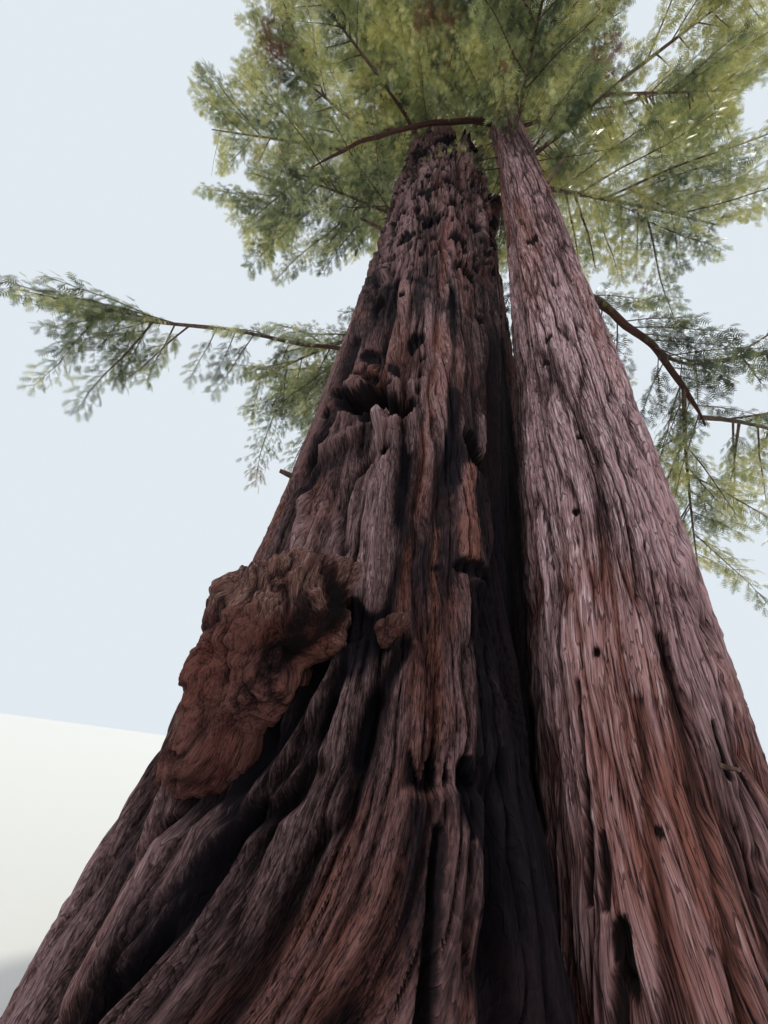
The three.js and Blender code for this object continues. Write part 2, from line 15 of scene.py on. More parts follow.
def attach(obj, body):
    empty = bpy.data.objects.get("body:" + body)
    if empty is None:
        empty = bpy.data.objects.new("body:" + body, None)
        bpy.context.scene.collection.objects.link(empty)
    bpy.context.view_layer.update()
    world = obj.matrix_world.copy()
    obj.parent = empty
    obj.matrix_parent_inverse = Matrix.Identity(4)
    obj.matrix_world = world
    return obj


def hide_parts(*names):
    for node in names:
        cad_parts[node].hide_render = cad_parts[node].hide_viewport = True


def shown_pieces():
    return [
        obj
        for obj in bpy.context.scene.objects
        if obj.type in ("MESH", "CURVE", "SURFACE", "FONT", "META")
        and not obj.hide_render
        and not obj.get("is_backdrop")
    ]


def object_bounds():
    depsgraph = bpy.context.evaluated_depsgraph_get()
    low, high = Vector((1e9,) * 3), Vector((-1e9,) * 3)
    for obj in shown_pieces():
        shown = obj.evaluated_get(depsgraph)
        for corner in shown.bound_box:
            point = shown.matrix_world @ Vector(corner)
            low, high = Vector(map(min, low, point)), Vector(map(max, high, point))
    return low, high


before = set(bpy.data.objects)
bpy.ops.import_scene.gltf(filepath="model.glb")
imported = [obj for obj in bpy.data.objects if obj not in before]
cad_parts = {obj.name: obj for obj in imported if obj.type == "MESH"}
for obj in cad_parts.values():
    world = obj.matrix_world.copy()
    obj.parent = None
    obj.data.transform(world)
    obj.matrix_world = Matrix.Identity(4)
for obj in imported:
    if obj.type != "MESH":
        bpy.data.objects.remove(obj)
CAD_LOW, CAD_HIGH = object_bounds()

TAU = 2 * math.pi
scene = bpy.context.scene
print("solid model from", tuple(round(v, 3) for v in CAD_LOW), "to", tuple(round(v, 3) for v in CAD_HIGH))

# %% [markdown]
# ## Camera, floor and light
# The tree is seen from two metres in front of its foot, with a very wide lens that looks up and
# leans a little. The floor is one pale disc. A pale sky gives soft light from all sides, and two
# wide suns model it: one from the front left for the bark, and one from behind for the needles.

# %% Camera
EYE = (-0.293, -4.190, 1.5)
PITCH = math.radians(32.5)
ROLL = math.radians(7.9)
bpy.ops.object.camera_add(location=EYE)
camera = bpy.context.object
turned = Matrix.Rotation(math.pi / 2 + PITCH, 4, "X") @ Matrix.Rotation(ROLL, 4, "Z")
camera.matrix_world = Matrix.Translation(EYE) @ turned
camera.data.lens = 13.71
camera.data.sensor_width = 36
camera.data.clip_start, camera.data.clip_end = 0.05, 600
scene.camera = camera
print("camera at", EYE, "with a lens of", round(camera.data.lens, 2), "mm")

# %% Floor
FLOOR_RADIUS, FLOOR_DROP = 300, 0.003
bpy.ops.mesh.primitive_circle_add(
    vertices=128, radius=FLOOR_RADIUS, fill_type="NGON", location=(0, 0, -FLOOR_DROP),
)
floor = bpy.context.object
floor.name = "floor"
floor_paint = bpy.data.materials.new("pale floor")
floor_paint.use_nodes = True
paint = floor_paint.node_tree.nodes["Principled BSDF"].inputs
paint["Base Color"].default_value = (0.56, 0.56, 0.55, 1)
paint["Roughness"].default_value = 0.9
floor.data.materials.append(floor_paint)
floor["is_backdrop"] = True
print("floor", round(floor.dimensions.x), "m across")

# %% Light
world = bpy.data.worlds.new("pale sky")
world.use_nodes = True
sky = world.node_tree.nodes["Background"].inputs
sky["Color"].default_value = (0.80, 0.87, 0.93, 1)
sky["Strength"].default_value = 0.95
scene.world = world


def soft_sun(name, towards, strength, colour, angle):
    bpy.ops.object.light_add(type="SUN")
    lamp = bpy.context.object
    lamp.name = name
    lamp.rotation_euler = Vector(towards).to_track_quat("-Z", "Y").to_euler()
    lamp.data.energy = strength
    lamp.data.color = colour
    lamp.data.angle = math.radians(angle)


soft_sun("front light", (0.85, 0.55, -0.75), 1.3, (1.0, 0.97, 0.95), 22)
soft_sun("back light", (-0.5, -0.55, -0.55), 3.0, (1.0, 0.95, 0.8), 12)
scene.view_settings.view_transform = "Standard"
scene.view_settings.look = "None"
print("a pale sky and", sum(lamp.type == "SUN" for lamp in bpy.data.lights), "suns")

# %% [markdown]
# ## Noise that goes round a stem
# Bark isn't smooth and isn't random either: its furrows run up the stem, wander, split and meet
# again. Smooth random values on a grid that closes round the stem, stretched tall, have contour
# lines that do the same. A crease makes a furrow along each of those lines.

# %% Noise helpers


def ease(low, high, value):
    """0 below low, 1 above high, and a smooth step between them; low may be the larger one."""
    t = np.clip((value - low) / (high - low), 0, 1)
    return t * t * (3 - 2 * t)


def waves(seed, turn, height, around, tall):
    """Smooth random values from 0 to 1: so many cells round the stem, each so many metres tall."""
    table = np.random.default_rng(seed).random((256, around))
    column = (turn / TAU % 1) * around
    row = height / tall + 40
    i, j = np.floor(column).astype(int), np.floor(row).astype(int)
    u, v = column - i, row - j
    u, v = u * u * (3 - 2 * u), v * v * (3 - 2 * v)
    i0, i1, j0, j1 = i % around, (i + 1) % around, j % 256, (j + 1) % 256
    low = table[j0, i0] * (1 - u) + table[j0, i1] * u
    high = table[j1, i0] * (1 - u) + table[j1, i1] * u
    return low * (1 - v) + high * v


def sway(seed, turn, height, around, tall):
    """The same, from -0.5 to 0.5, for bending things to and fro."""
    return waves(seed, turn, height, around, tall) - 0.5


def crease(values, steepness, power):
    """0 along the middle contour of a noise, and flat-topped at 1 away from it."""
    return np.minimum(1, np.abs(2 * values - 1) * steepness) ** power


def shingle(values, levels, lip=0.2):
    """Strips along a noise's contours: each rises slowly from 0 and ends in a sharp lip at 1."""
    part = (values * levels) % 1
    return np.minimum(part / (1 - lip), (1 - part) / lip)


def cloud(seed, points, cell):
    """Smooth random values from 0 to 1 in space, for swollen wood."""
    table = np.random.default_rng(seed).random((32, 32, 32))
    place = points / cell + 16
    base = np.floor(place).astype(int)
    part = place - base
    part = part * part * (3 - 2 * part)
    value = 0
    for corner in np.ndindex(2, 2, 2):
        weight = np.prod([part[:, k] if corner[k] else 1 - part[:, k] for k in range(3)], axis=0)
        value = value + weight * table[tuple((base[:, k] + corner[k]) % 32 for k in range(3))]
    return value


# %% [markdown]
# ## Skins
# A stem's skin starts as a grid. Its columns become headings round the stem and its rows become
# heights, and its first and last rows close to a point. A displacement texture could give the
# relief, but then the finish wouldn't know where the furrows are. So the skin is shaped in one go
# from arrays, and keeps marks for its finish: how deep in a furrow each point lies, which also
# paints shade into the furrows; how burnt it is, a mark that also carries painted shade; how warm
# it is; how weathered it is, a mark that also carries painted light; and where it lies along the
# wood's grain.

# %% Skin helpers


def start_fresh():
    if bpy.context.object and bpy.context.object.mode != "OBJECT":
        bpy.ops.object.mode_set(mode="OBJECT")
    bpy.ops.object.select_all(action="DESELECT")


def add_marks(mesh, marks):
    for mark, values in marks.items():
        kind, key = ("FLOAT_VECTOR", "vector") if values.ndim == 2 else ("FLOAT", "value")
        attribute = mesh.attributes.new(mark, kind, "POINT")
        attribute.data.foreach_set(key, values.astype(np.float32).ravel())


def move_points(mesh, points):
    mesh.vertices.foreach_set("co", points.astype(np.float32).ravel())
    mesh.update()


def read_points(mesh):
    points = np.zeros(len(mesh.vertices) * 3, np.float32)
    mesh.vertices.foreach_get("co", points)
    return points.reshape(-1, 3).astype(float)


def stand_off(axis, heading, wall):
    """Points that stand off an upright axis by the wall's radius, at their headings."""
    axis[:, 0] += wall * np.cos(heading)
    axis[:, 1] += wall * np.sin(heading)
    return axis


def grain_place(radius, along, z):
    """Where points lie along the wood's grain, as if the stem were a plain cylinder."""
    return np.stack([radius * np.cos(along), radius * np.sin(along), z], axis=-1)


def skin(name, columns, rows, place):
    """place(turn, rise, share) gives points and marks; share is 0 in the closing rows."""
    start_fresh()
    bpy.ops.mesh.primitive_grid_add(x_subdivisions=columns, y_subdivisions=rows + 2, size=2)
    piece = bpy.context.object
    piece.name = piece.data.name = name
    flat = read_points(piece.data)
    turn = flat[:, 0] * math.pi
    row = np.round((flat[:, 1] + 1) / 2 * (rows + 2))
    share = ((row > 0) & (row < rows + 2)).astype(float)
    rise = np.clip((row - 1) / rows, 0, 1)
    points, marks = place(turn, rise, share)
    move_points(piece.data, points)
    add_marks(piece.data, marks)
    bpy.ops.object.mode_set(mode="EDIT")
    bpy.ops.mesh.select_all(action="SELECT")
    bpy.ops.mesh.remove_doubles(threshold=0.00005)
    bpy.ops.object.mode_set(mode="OBJECT")
    bpy.ops.object.shade_smooth_by_angle(angle=math.radians(75))
    print(name, "has", len(piece.data.polygons), "faces")
    return piece


def dress(piece, material, slot, *nodes):
    """Gives a piece its finish, lets it ride on the tree, and lets it stand for its solids."""
    piece.data.materials.clear()
    piece.data.materials.append(material)
    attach(piece, "root")
    if nodes:
        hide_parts(*nodes)
    return piece


# %% [markdown]
# ## Bark as a finish
# Redwood bark is a felt of long fibres. Photographs of bark could be wrapped round the stems, but
# nodes have no seams and follow the relief. One node group makes it for all the stems. Noises that
# are stretched along the grain give the fibres, threads and strands, and the skin's marks choose
# the colour: dark in the furrows, partly the bark's own colour and partly painted shade, brown on
# the ridges, grey where it is weathered, orange where a strip has come off, and blue-black where
# fire has been and as painted shade in the cleft, the pits and under overhangs. Each strip's lip
# is painted dark as its shade and its top lighter as a painted highlight. Every stem has its own
# five tones.

# %% Node helpers


def socket(group, name, kind, way, value=None):
    made = group.interface.new_socket(name=name, in_out=way, socket_type=kind)
    if value is not None:
        made.default_value = value
    return made


class Wiring:
    """Short words for adding nodes to a tree and joining them."""

    def __init__(self, tree):
        self.tree = tree

    def node(self, kind, **settings):
        made = self.tree.nodes.new(kind)
        for name, value in settings.items():
            setattr(made, name, value)
        return made

    def join(self, value, target):
        if isinstance(value, bpy.types.NodeSocket):
            self.tree.links.new(value, target)
        else:
            target.default_value = value

    def math(self, operation, a, b=0.0):
        node = self.node("ShaderNodeMath", operation=operation)
        self.join(a, node.inputs[0])
        self.join(b, node.inputs[1])
        return node.outputs[0]

    def add(self, a, b):
        return self.math("ADD", a, b)

    def less(self, a, b):
        return self.math("SUBTRACT", a, b)

    def times(self, a, b):
        return self.math("MULTIPLY", a, b)

    def saw(self, value, teeth):
        """Climbs from 0 to 1 again and again, so many times while the value goes from 0 to 1."""
        return self.math("FRACT", self.times(value, teeth))

    def between(self, value, low, high):
        node = self.node("ShaderNodeMapRange", interpolation_type="SMOOTHSTEP")
        self.join(value, node.inputs["Value"])
        node.inputs["From Min"].default_value = low
        node.inputs["From Max"].default_value = high
        return node.outputs["Result"]

    def mix(self, factor, a, b):
        node = self.node("ShaderNodeMix", data_type="RGBA")
        self.join(factor, node.inputs[0])
        self.join(a, node.inputs[6])
        self.join(b, node.inputs[7])
        return node.outputs[2]

    def noise(self, vector, scale, stretch=(1, 1, 1), detail=3.0, roughness=0.55):
        mapping = self.node("ShaderNodeMapping")
        mapping.inputs["Scale"].default_value = [scale * s for s in stretch]
        self.join(vector, mapping.inputs["Vector"])
        node = self.node("ShaderNodeTexNoise")
        node.inputs["Scale"].default_value = 1
        node.inputs["Detail"].default_value = detail
        node.inputs["Roughness"].default_value = roughness
        self.tree.links.new(mapping.outputs[0], node.inputs["Vector"])
        return node.outputs["Fac"]


# %% The bark group
# The char mark and its burnt tone paint both char and painted shade, and the grey mark and its weathered
# tone paint both weathering and painted light.
MARKS = ("Deep", "Char", "Warm", "Grey_and_light")
TONES = ("Furrow tone", "Ridge tone", "Strip tone", "Weathered and lit tone", "Burnt and shade tone")
bark_group = bpy.data.node_groups.new("fibrous bark", "ShaderNodeTree")
socket(bark_group, "Grain", "NodeSocketVector", "INPUT")
for mark in (*MARKS, "Gap shade"):
    socket(bark_group, mark, "NodeSocketFloat", "INPUT", 0.5)
for tone in TONES:
    socket(bark_group, tone, "NodeSocketColor", "INPUT", (0.1, 0.05, 0.04, 1))
socket(bark_group, "Color", "NodeSocketColor", "OUTPUT")
socket(bark_group, "Roughness", "NodeSocketFloat", "OUTPUT")
socket(bark_group, "Height", "NodeSocketFloat", "OUTPUT")

# %% Fibres, threads and layers of the bark
w = Wiring(bark_group)
given = w.node("NodeGroupInput").outputs
fibre = w.noise(given["Grain"], 118, (1, 1, 0.024), detail=4, roughness=0.72)
strand = w.noise(given["Grain"], 13, (1, 1, 0.075), detail=3, roughness=0.5)
thread = w.noise(given["Grain"], 58, (1, 1, 0.045), detail=2)
patch = w.noise(given["Grain"], 1.9, (1, 1, 0.4), detail=3)
layer = w.saw(strand, 9.0)
# Each layer is a strip whose lip is painted dark as the shade under it, in the gap, and whose upper part,
# the rim, gets a painted highlight.
lip = w.between(layer, 0.80, 0.93)
gap = w.times(lip, given["Gap shade"])
rim = w.times(w.between(layer, 0.25, 0.8), w.less(1.0, lip))
sliver = w.saw(thread, 5.0)

# %% Colours of the bark, one over the other
# Furrows are darker through the deep mark, partly the bark's own colour and partly painted shade.
light = w.add(w.times(w.less(fibre, 0.5), 1.5), w.times(w.less(sliver, 0.5), 0.2))
light = w.add(light, given["Deep"])
body = w.mix(w.between(light, -0.1, 1.0), given["Furrow tone"], given["Ridge tone"])
under = w.times(w.between(patch, 0.5, 0.66), w.less(0.5, w.times(given["Grey_and_light"], 0.3)))
under = w.math("MAXIMUM", under, given["Warm"])
body = w.mix(w.times(under, w.between(fibre, 0.35, 0.6)), body, given["Strip tone"])
# Weathered flecks are pale, with more on each strip's rim as a painted highlight, and more where the grey
# mark, which holds both weathering and painted light, is high.
fleck = w.times(w.between(fibre, 0.40, 0.66), w.add(w.times(rim, 0.45), 0.24))
worn_and_lit = w.times(w.between(given["Deep"], 0.1, 0.7), w.add(w.times(given["Grey_and_light"], 0.7), 0.16))
body = w.mix(w.times(fleck, worn_and_lit), body, given["Weathered and lit tone"])
# Each strip's lip is painted in the furrow tone as the shade under it.
body = w.mix(gap, body, given["Furrow tone"])
# The char mark turns the bark blue-black, both where it is charred and where shade is painted.
darkness = given["Char"]
for uneven, share in ((fibre, 0.28), (patch, 0.5), (layer, 0.25)):
    darkness = w.add(darkness, w.times(w.less(0.5, uneven), share))
darkness = w.times(w.between(darkness, 0.1, 0.95), w.between(given["Char"], 0.0, 0.25))
body = w.mix(w.times(darkness, 0.94), body, given["Burnt and shade tone"])
height = w.add(w.times(fibre, 0.22), w.times(sliver, 0.10))
height = w.add(height, w.times(w.times(layer, w.less(1.0, lip)), 0.4))
out = w.node("NodeGroupOutput").inputs
w.join(body, out["Color"])
w.join(w.less(0.95, w.times(rim, 0.1)), out["Roughness"])
w.join(height, out["Height"])
print("the bark group has", len(bark_group.nodes), "nodes")

# %% Bark materials


def srgb(r, g, b):
    """A colour given in values from 0 to 255, as light values from 0 to 1."""
    def linear(v):
        v /= 255
        return v / 12.92 if v <= 0.04045 else ((v + 0.055) / 1.055) ** 2.4
    return (linear(r), linear(g), linear(b), 1)


def new_material(name):
    """A material, its wiring and its shader."""
    material = bpy.data.materials.new(name)
    material.use_nodes = True
    return material, Wiring(material.node_tree), material.node_tree.nodes["Principled BSDF"]


def bark(name, tones, gap_shade, relief):
    """The bark of one stem: its five tones, how dark the painted shade in its gaps is, and its fibres'
    height.
    """
    material, wire, shader = new_material(name)
    group = wire.node("ShaderNodeGroup", node_tree=bark_group)
    for mark in ("Grain", *MARKS):
        reader = wire.node("ShaderNodeAttribute", attribute_name=mark.lower())
        wire.join(reader.outputs["Vector" if mark == "Grain" else "Fac"], group.inputs[mark])
    for tone, value in zip(TONES, tones):
        group.inputs[tone].default_value = srgb(*value)
    group.inputs["Gap shade"].default_value = gap_shade
    bump = wire.node("ShaderNodeBump")
    bump.inputs["Strength"].default_value = 1.0
    bump.inputs["Distance"].default_value = relief
    wire.join(group.outputs["Height"], bump.inputs["Height"])
    wire.join(group.outputs["Color"], shader.inputs["Base Color"])
    wire.join(group.outputs["Roughness"], shader.inputs["Roughness"])
    wire.join(bump.outputs["Normal"], shader.inputs["Normal"])
    shader.inputs["Specular IOR Level"].default_value = 0.12
    return material


# Each finish: furrow tone, also painted shade, then ridge, strip, weathered tone, also painted light, and
# burnt tone, also painted shade; then the gaps' painted shade, and relief
old_bark = bark(
    "old bark", ((23, 14, 15), (122, 91, 91), (124, 75, 61), (162, 144, 146), (17, 13, 19)), 0.5, 0.020,
)
young_bark = bark(
    "young bark", ((24, 15, 17), (166, 128, 130), (142, 90, 78), (216, 198, 204), (16, 12, 14)), 0.6, 0.022,
)
burl_bark = bark(
    "burl bark", ((20, 12, 13), (104, 65, 59), (100, 54, 46), (136, 122, 112), (15, 11, 12)), 0.4, 0.012,
)
bough_bark = bark(
    "bough bark", ((24, 17, 18), (82, 58, 53), (92, 58, 47), (112, 96, 92), (22, 18, 20)), 0.4, 0.004,
)

# %% [markdown]
# ## The old trunk's wall
# The wall repeats the solid's: a taper, a flare at the root, broad buttress folds, and a hollow
# way where the young stem stands. These few formulas are the same as in the solid model, so the
# bark sits where the solid's surface is, and the leader and the boughs start where they should.

# %% Wall of the old trunk
BOLE_THICK, BOLE_TAPER, BOLE_FLARE, BOLE_LEAN = 1.600, 0.035, 0.420, 0.090
# Folds: how many, how proud, and their shift round the trunk
FOLDS = ((3, 0.060, 0.6), (7, 0.085, 2.1), (12, 0.060, 0.4))
YOUNG_X, YOUNG_Y = 1.700, -1.070
YOUNG_THICK, YOUNG_TAPER, YOUNG_FLARE, YOUNG_THIN = 0.580, 0.0125, 0.140, 0.035
YOUNG_CROWN, YOUNG_TOP = 20, 34.6
CLEFT_HEADING = math.atan2(YOUNG_Y, YOUNG_X)
CLEFT_REACH = math.hypot(YOUNG_X, YOUNG_Y)
CLEFT_GAP = 0.250


def bole_radius(z):
    return BOLE_THICK - BOLE_TAPER * z + BOLE_FLARE * np.exp(-z / 2.8)


def bole_axis(z):
    return np.stack([BOLE_LEAN * np.minimum(1, z / 11), z * 0, z], axis=-1)


def bole_folds(turn, z):
    fade = 0.3 + 0.7 * np.exp(-z / 5.5)
    turned = turn + 0.05 * z
    return fade * sum(proud * np.cos(count * turned + shift) for count, proud, shift in FOLDS)


def young_radius(z):
    stem = YOUNG_THICK - YOUNG_TAPER * np.minimum(z, YOUNG_CROWN) + YOUNG_FLARE * np.exp(-((z / 6) ** 2))
    crown = np.maximum(0, (z - YOUNG_CROWN) / (YOUNG_TOP - YOUNG_CROWN))
    return stem * (1 - crown) + YOUNG_THIN * crown


def young_axis(z):
    bow = 0.060 * np.sin(math.pi * np.minimum(1, z / 12))
    return np.stack([YOUNG_X + bow - 0.240 * ease(10, 20, z), z * 0 + YOUNG_Y, z], axis=-1)


def cleft_reach(turn, z):
    """How far the old trunk may reach before it comes too near the young stem."""
    across = np.sin(turn - CLEFT_HEADING) * CLEFT_REACH
    along = np.cos(turn - CLEFT_HEADING) * CLEFT_REACH
    room = young_radius(z) + CLEFT_GAP
    reach = along - np.sqrt(np.maximum(0, room**2 - across**2)) + 8 * np.maximum(0, np.abs(across) - room)
    return np.where(along < 0, 99.0, reach)


def sheltered(turn, z):
    """1 deep in the cleft between the two stems, 0 on the open sides."""
    open_wall = bole_radius(z) + bole_folds(turn, z)
    return ease(-0.05, 0.25, open_wall - cleft_reach(turn, z))


# %% [markdown]
# ## What fire, age and growth have drawn on it
# Burnt hollows, pits, deep furrows, orange grooves where strips came off, and black streaks have
# their own places, so they are listed: a pit by heading, height and size, a stroke by the points
# that it runs through. A painted image could hold them too, but a list can be read and changed,
# and each row serves both the relief and the marks. Each is a smooth bump with a ragged rim. The
# hollows, pits and furrows are darkened inside with char and with painted shade.

# %% Shapes of pits and strokes


def apart(turn, other):
    """The smallest angle from other to turn, in radians."""
    return (turn - other + math.pi) % TAU - math.pi


def pit(turn, z, radius, row):
    """1 in the middle of a pit and 0 outside it, with a ragged rim."""
    heading, height, wide, tall = row[:4]
    across = apart(turn, math.radians(heading)) * radius / (wide / 2)
    upward = (z - height) / (tall / 2)
    ragged = 0.8 * sway(61, turn, z, 40, 0.25) + 0.9 * sway(62, turn, z, 110, 0.2)
    return ease(1.1, 0.6, np.hypot(across, upward) + ragged)


def stroke(turn, z, radius, points, wide):
    """1 along a line through points of (heading, height), falling to 0 at its half-width."""
    nearest = np.full(turn.shape, 9.0)
    for (a, low), (b, high) in zip(points, points[1:]):
        middle = math.radians((a + b) / 2)
        x, y = apart(turn, middle) * radius, z - low
        ax = math.radians(a) - middle
        bx = math.radians(b) - middle
        ax, bx = ax * radius, bx * radius
        dx, dy = bx - ax, high - low
        t = np.clip(((x - ax) * dx + y * dy) / (dx * dx + dy * dy), 0, 1)
        nearest = np.minimum(nearest, np.hypot(x - ax - t * dx, y - t * dy))
    ragged = 0.6 * sway(63, turn, z, 60, 0.6) + 0.5 * sway(64, turn, z, 150, 0.22)
    return ease(1.05, 0.15, nearest / (wide / 2) + ragged)


def groove(turn, z, radius, points, wide):
    """A stroke with a crisp lip and a sharp bottom, as splits in wood have."""
    inside = stroke(turn, z, radius, points, wide)
    return 0.65 * inside**0.45 + 0.35 * inside**2


# %% Places of pits and strokes
# Burnt hollows and pits, darkened inside with char and painted shade; the one at -78 and 2.78 m is a
# shallow recess painted dark as a ledge's shadow: heading, height, width, height, depth
HOLLOWS = [
    (-114, 4.72, 0.80, 0.62, 0.34), (-71, 4.03, 0.38, 0.48, 0.26), (-75, 7.92, 0.40, 0.40, 0.34),
    (118, 1.50, 0.52, 1.95, 0.40), (-130, 10.24, 0.34, 0.40, 0.18), (-102, 9.4, 0.34, 0.42, 0.18),
    (-78, 8.84, 0.26, 0.30, 0.14), (-118.5, 8.82, 0.24, 0.26, 0.10), (-118, 1.47, 0.15, 0.46, 0.18),
    (-105, 2.26, 0.20, 0.26, 0.07), (-78, 2.78, 0.42, 0.13, 0.08), (-129, 6.99, 0.22, 0.40, 0.10),
    (-79, 1.36, 0.16, 0.30, 0.08), (-105, 3.95, 0.16, 0.20, 0.05), (-122, 5.6, 0.22, 0.30, 0.08),
    (-111.6, 6.86, 0.14, 0.22, 0.09), (-100, 5.8, 0.20, 0.36, 0.09), (-62, 6.83, 0.14, 0.20, 0.10),
    (-120.4, 5.2, 0.34, 0.16, 0.09), (-111.5, 1.94, 0.22, 0.26, 0.12),
]
SMALL_PITS = 95
rng = np.random.default_rng(77)
for _ in range(SMALL_PITS):
    height, heading = rng.uniform(8.6, 15.6), rng.uniform(-180, 180)
    wide, tall, depth = rng.uniform(0.08, 0.26), rng.uniform(0.12, 0.36), rng.uniform(0.06, 0.16)
    HOLLOWS.append((heading, height, wide, tall, depth))

# Furrows and cracks, with painted shade in their bottoms: points of heading and height, width, depth, how
# burnt, char that is partly painted shade
FURROWS = (
    (((-124, 1.45), (-126.5, 1.23), (-129.1, 0.76), (-137, 0.35), (-143, 0)), 0.15, 0.12, 0.6),
    (((-106, 1.42), (-108, 1.30), (-114.8, 1.15), (-118.2, 0.80), (-124.5, 0.48), (-134, 0)),
     0.14, 0.12, 0.7),
    (((-108, 2.2), (-111.6, 1.9), (-113.6, 1.63), (-117.3, 1.19)), 0.13, 0.09, 0.6),
    (((-105.3, 1.94), (-107.4, 1.68), (-113, 1.33), (-121, 0.7), (-129, 0.25)), 0.12, 0.09, 0.5),
    (((-91.9, 2.15), (-95, 1.95), (-97.4, 1.78), (-98.5, 1.5)), 0.11, 0.08, 0.7),
    (((-97.4, 1.78), (-99.4, 1.24), (-104.4, 1.07), (-109.6, 0.64), (-120, 0)), 0.19, 0.15, 0.9),
    (((-98, 4.3), (-97.5, 3.5), (-97.9, 2.81), (-96.9, 2.14)), 0.15, 0.05, 1.3),
    (((-84.5, 1.26), (-86.1, 0.8), (-87.4, 0.5), (-91, 0)), 0.09, 0.16, 2.4),
    (((-73, 2.6), (-75, 1.5), (-78, 0)), 0.20, 0.12, 1.4),
    (((-83, 7.0), (-82, 5.0), (-81.5, 3.6)), 0.16, 0.07, 1.1),
    (((-95, 0.55), (-98, 0.25), (-100, 0)), 0.40, 0.08, 0.9),
    (((-118, 7.5), (-116, 6.0), (-117, 5.0)), 0.14, 0.08, 0.9),
    (((-133, 6.0), (-130, 4.6), (-131, 3.4)), 0.20, 0.10, 0.8),
    (((-113.5, 2.06), (-116, 1.75), (-119, 1.45), (-121, 1.25)), 0.34, 0.16, 1.0),
    (((-128.8, 4.17), (-134.7, 3.73), (-143.6, 3.3)), 0.14, 0.10, 0.9),
    (((-106, 4.0), (-114.5, 3.56), (-114, 3.22), (-111.6, 2.8)), 0.12, 0.09, 0.9),
    (((-105.4, 1.77), (-108.8, 1.33), (-112.3, 1.04), (-115.3, 0.71), (-124, 0.1)), 0.08, 0.07, 0.6),
    (((-113.9, 1.25), (-119, 0.95), (-127, 0.5), (-137, 0)), 0.08, 0.07, 0.6),
    (((-127, 1.1), (-131, 0.7), (-139, 0.2)), 0.09, 0.07, 0.7),
)

# Strips that have come off: points, width, depth
STRIPS = (
    (((-89, 9.6), (-90, 6.67), (-89.8, 5.31), (-91.1, 4.35), (-90.6, 3.24), (-93.8, 2.4)), 0.17, 0.06),
    (((-86, 3.1), (-85, 2.3), (-85, 1.6)), 0.16, 0.02),
)

# Stains and bleached places: points, width, then how burnt, orange, grey and raised
STAINS = (
    (((-82, 4.8), (-81.5, 4.1), (-83, 3.5)), 0.17, 0.8, 0, 0, 0),
    (((-104.5, 2.36), (-101.5, 2.2), (-101, 2.0)), 0.30, 1.0, 0, 0, 0.02),
    (((-98, 2.3), (-104, 2.08)), 0.22, 0.9, 0, 0, 0),
    (((-75.5, 3.8), (-76.5, 3.4), (-77, 2.9)), 0.20, -0.9, 0.9, 0.3, 0.02),
    (((-66, 4.72), (-67, 4.25)), 0.24, -0.7, 0, 1.0, 0.04),
    (((-100.2, 4.95), (-98, 4.42), (-96.6, 3.99)), 0.11, -0.8, 0, 1.2, 0.03),
    (((-128.4, 3.4), (-125, 3.1), (-121.6, 2.75)), 0.12, -0.5, 0, 0.9, 0.07),
    (((-105, 4.95), (-103.5, 4.6), (-105.5, 4.25)), 0.13, -1, 0, 1.5, 0.05),
    (((-111.5, 4.74), (-110.5, 4.5), (-109, 4.2)), 0.12, -4, 0, 5.5, 0.20),
    (((-100, 1.98), (-102.2, 1.72), (-105.2, 1.47), (-107.6, 1.21)), 0.20, -0.5, 0, 0.5, 0.03),
    (((-107, 4.2), (-105.5, 3.6), (-102.8, 3.0), (-100.5, 2.45)), 0.36, -1.5, 0, 1.2, 0.07),
    (((-120, 4.22), (-130.8, 3.82), (-143, 3.5)), 0.20, -0.5, 0, 0.5, 0.07),
    (((-112, 7.2), (-108, 6.2), (-107.3, 5.5)), 0.34, -0.6, 0.3, 0.6, 0.04),
)
print(len(HOLLOWS), "hollows and pits,", len(FURROWS), "furrows,", len(STRIPS), "bare strips,",
      len(STAINS), "stains and bleached places")

# %% [markdown]
# ## Furrows along the grain
# Old redwood bark is thick and deeply furrowed, and its furrows follow the wood. So the grain
# comes first: a heading that twists with height and wanders. A sculptor would carve the furrows
# one by one. Here noise along the grain does it, in six sizes from folds to fibres, so that the
# whole trunk is covered. All that has shaped the bark later is then cut into it.

# %% Grain of the old trunk
# Where the grain fans out at the foot: its heading, how far it leans, and to where on both hands
FAN_HEADING, FAN_LEAN, FAN_RIGHT, FAN_LEFT = (math.radians(v) for v in (-108, 39, 24, 17))
# The great burnt hollow, where the wood is gnarled
CAVITY_HEADING, CAVITY_HEIGHT, CAVITY_SIZE = math.radians(-112), 5.15, 0.75


def grain_turn(turn, z):
    """The heading along the wood's grain: it twists with height and fans out at the foot."""
    off = apart(turn, FAN_HEADING)
    window = np.exp(-0.5 * (off / np.where(off > 0, FAN_RIGHT, FAN_LEFT)) ** 2)
    return turn + 0.05 * z + FAN_LEAN * window * np.exp(-z / 0.6)


def cavity_rim(turn, z):
    """1 round the great burnt hollow and 0 away from it."""
    across = apart(turn, CAVITY_HEADING) * 1.6 / CAVITY_SIZE
    return ease(1.15, 0.6, np.hypot(across, (z - CAVITY_HEIGHT) / CAVITY_SIZE))


def gnarled(turn, z):
    """1 on the upper trunk and round the great hollow, where the bark is broken up."""
    return np.maximum(ease(5.5, 9, z), cavity_rim(turn, z))


def wandering_grain(turn, z, wild):
    """The grain's heading with its bends, from broad ones to those of single fibres."""
    plain = grain_turn(turn, z)
    along = plain + 0.16 * sway(1, plain, z, 9, 3.0) + 0.06 * sway(2, plain, z, 30, 0.8)
    broken = 0.13 * sway(26, along, z, 16, 1.1) + 0.06 * sway(27, along, z, 44, 0.5)
    along = along + wild * broken
    return along + 0.02 * sway(12, along, z, 90, 0.25)


